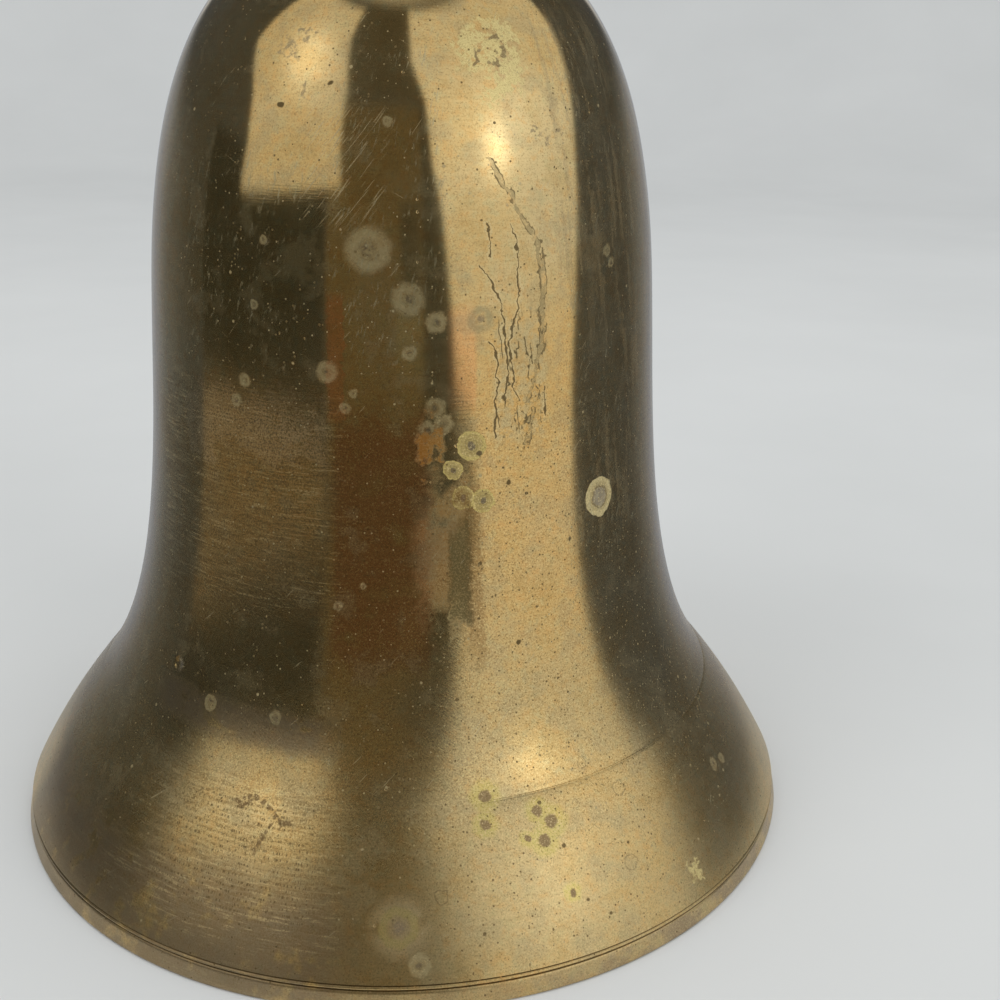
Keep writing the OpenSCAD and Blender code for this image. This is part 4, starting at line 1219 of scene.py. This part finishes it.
# Clapper: a forged steel shank whose eye turns on the pin in a brass bush, and a brass ball locked by a nut.
# The shank is forge-dark and slightly uneven. The ball is worn bright and a little flat where it strikes.
ball_r, ball_z, ball_flat_z, ball_flat_r, ball_bore, ball_thread = 11.0, 13.5, 23.3, 5.0, 2.54, 12.0
shank_r, eye_half, eye_out, bush_r, bush_bore = 2.5, 2.8, 5.2, 3.2, 2.05
shank_foot_z, shank_top = ball_flat_z - ball_thread, pivot_z - 3.6


def forged(azimuth, radius, height):
    """Thickens the shank towards its eye, most along the eye's width, and leaves slow hammer waves on it."""
    near_eye = eased(height, 83.0, 97.0)
    grown = near_eye * (1.1 * np.sin(azimuth) ** 2 + 0.20 * np.cos(azimuth) ** 2)
    waves = 0.05 * np.sin(height / 3.1) * np.sin(2 * azimuth + height / 6.0) * eased(height, 30.0, 36.0)
    return (grown + waves) * radius / shank_r


bar = np.concatenate([
    [(0.0, shank_foot_z), (shank_r - 0.3, shank_foot_z), (shank_r, shank_foot_z + 0.3)],
    np.linspace((shank_r, 12.5), (shank_r, shank_top), 90),
    [(0.0, shank_top)],
])
eye = rounded([
    (bush_r, -eye_half, 0.15), (eye_out, -eye_half, 0.7), (eye_out, eye_half, 0.7), (bush_r, eye_half, 0.15)
])
bar_and_eye = together(turned(bar, 64, loop=False, wobble=forged), turned(eye, 96, lie_at=pivot_z))
shank = fit("shank", bar_and_eye, "clapper", "steel", ["clapper_shank"])
forge = shank.modifiers.new("forge", "REMESH")
forge.mode = "VOXEL"
forge.voxel_size = 0.2 * MM
wear = shank.modifiers.new("wear", "SMOOTH")
wear.factor = 0.5
wear.iterations = 5
bpy.context.view_layer.update()
shank.data = bpy.data.meshes.new_from_object(shank.evaluated_get(bpy.context.evaluated_depsgraph_get()))
shank.modifiers.clear()
shank.data.shade_smooth()
shank.data.materials.append(forged_steel)

bush = rounded([
    (bush_bore, -eye_half, 0.2), (bush_r, -eye_half, 0.08), (bush_r, eye_half, 0.08),
    (bush_bore, eye_half, 0.2)
])
bush_brass = turned_brass("bush_brass", 4.0)
fit("pivot_bush", turned(bush, 96, lie_at=pivot_z), "clapper", "fitting_brass", ["eye_bush"], bush_brass)


def struck_flat(azimuth, radius, height):
    """The two worn flats on the ball: a shallow bell-shaped hollow about the X axis on either side."""
    off_side = (np.abs(azimuth) - np.pi / 2) / np.radians(17.0)
    off_height = (height - ball_z) / 3.4
    return -0.22 * np.exp(-off_side ** 2 - off_height ** 2) * np.clip(radius / ball_r, 0.0, 1.0)


flat_turn = np.degrees(np.arccos(ball_flat_r / ball_r))
ball = np.concatenate([
    arc((0.0, ball_z), ball_r, -90, flat_turn - 1.0, 90),
    [(ball_flat_r - 0.25, ball_flat_z), (ball_bore + 0.3, ball_flat_z), (ball_bore, ball_flat_z - 0.3)],
    [(ball_bore, shank_foot_z), (0.0, shank_foot_z)],
])
ball_brass, ball_place = surface("struck_brass")
ball_cloud = ball_place.noise(0.12, 4, 0.62, 0.5)
ball_stain = ball_place.noise(0.8, 4, 0.68)
ball_lines = ball_place.stretched((0.02, 0.02, 4.2)).noise(1, 2, 0.6)
strike = most(*(ball_place.away((side * ball_r, 0.0, ball_z)).step(5.6, 2.4) for side in (-1, 1)))
strike = strike * ball_stain.step(0.30, 0.46)
ball_tone = ball_cloud.ramp((0.34, (0.34, 0.22, 0.10)), (0.50, (0.46, 0.33, 0.16)), (0.66, (0.33, 0.25, 0.13)))
ball_tone = ball_tone.painted(ball_stain.step(0.55, 0.70), (0.18, 0.135, 0.075))
dints = ball_place.cells(0.9)[0] * strike
shade(
    ball_brass,
    Base_Color=ball_tone.painted(strike, (0.74, 0.56, 0.28)),
    Metallic=strike.between(0.86, 1.0),
    Roughness=strike.between(0.30 + ball_cloud * 0.15, 0.22),
    Normal=(ball_lines * 0.012 + dints * 0.05).bump(),
)
ball = turned(ball, loop=False, wobble=struck_flat)
fit("ball", ball, "clapper", "fitting_brass", ["clapper_ball"], ball_brass)
fit("clapper_nut", nut(8.0, 4.0, ball_bore, ball_flat_z), "clapper", "steel", ["ball_nut"], nut_steel)


{"cad": [list(corner) for corner in cad_box], "visual": [list(corner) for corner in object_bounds()]}
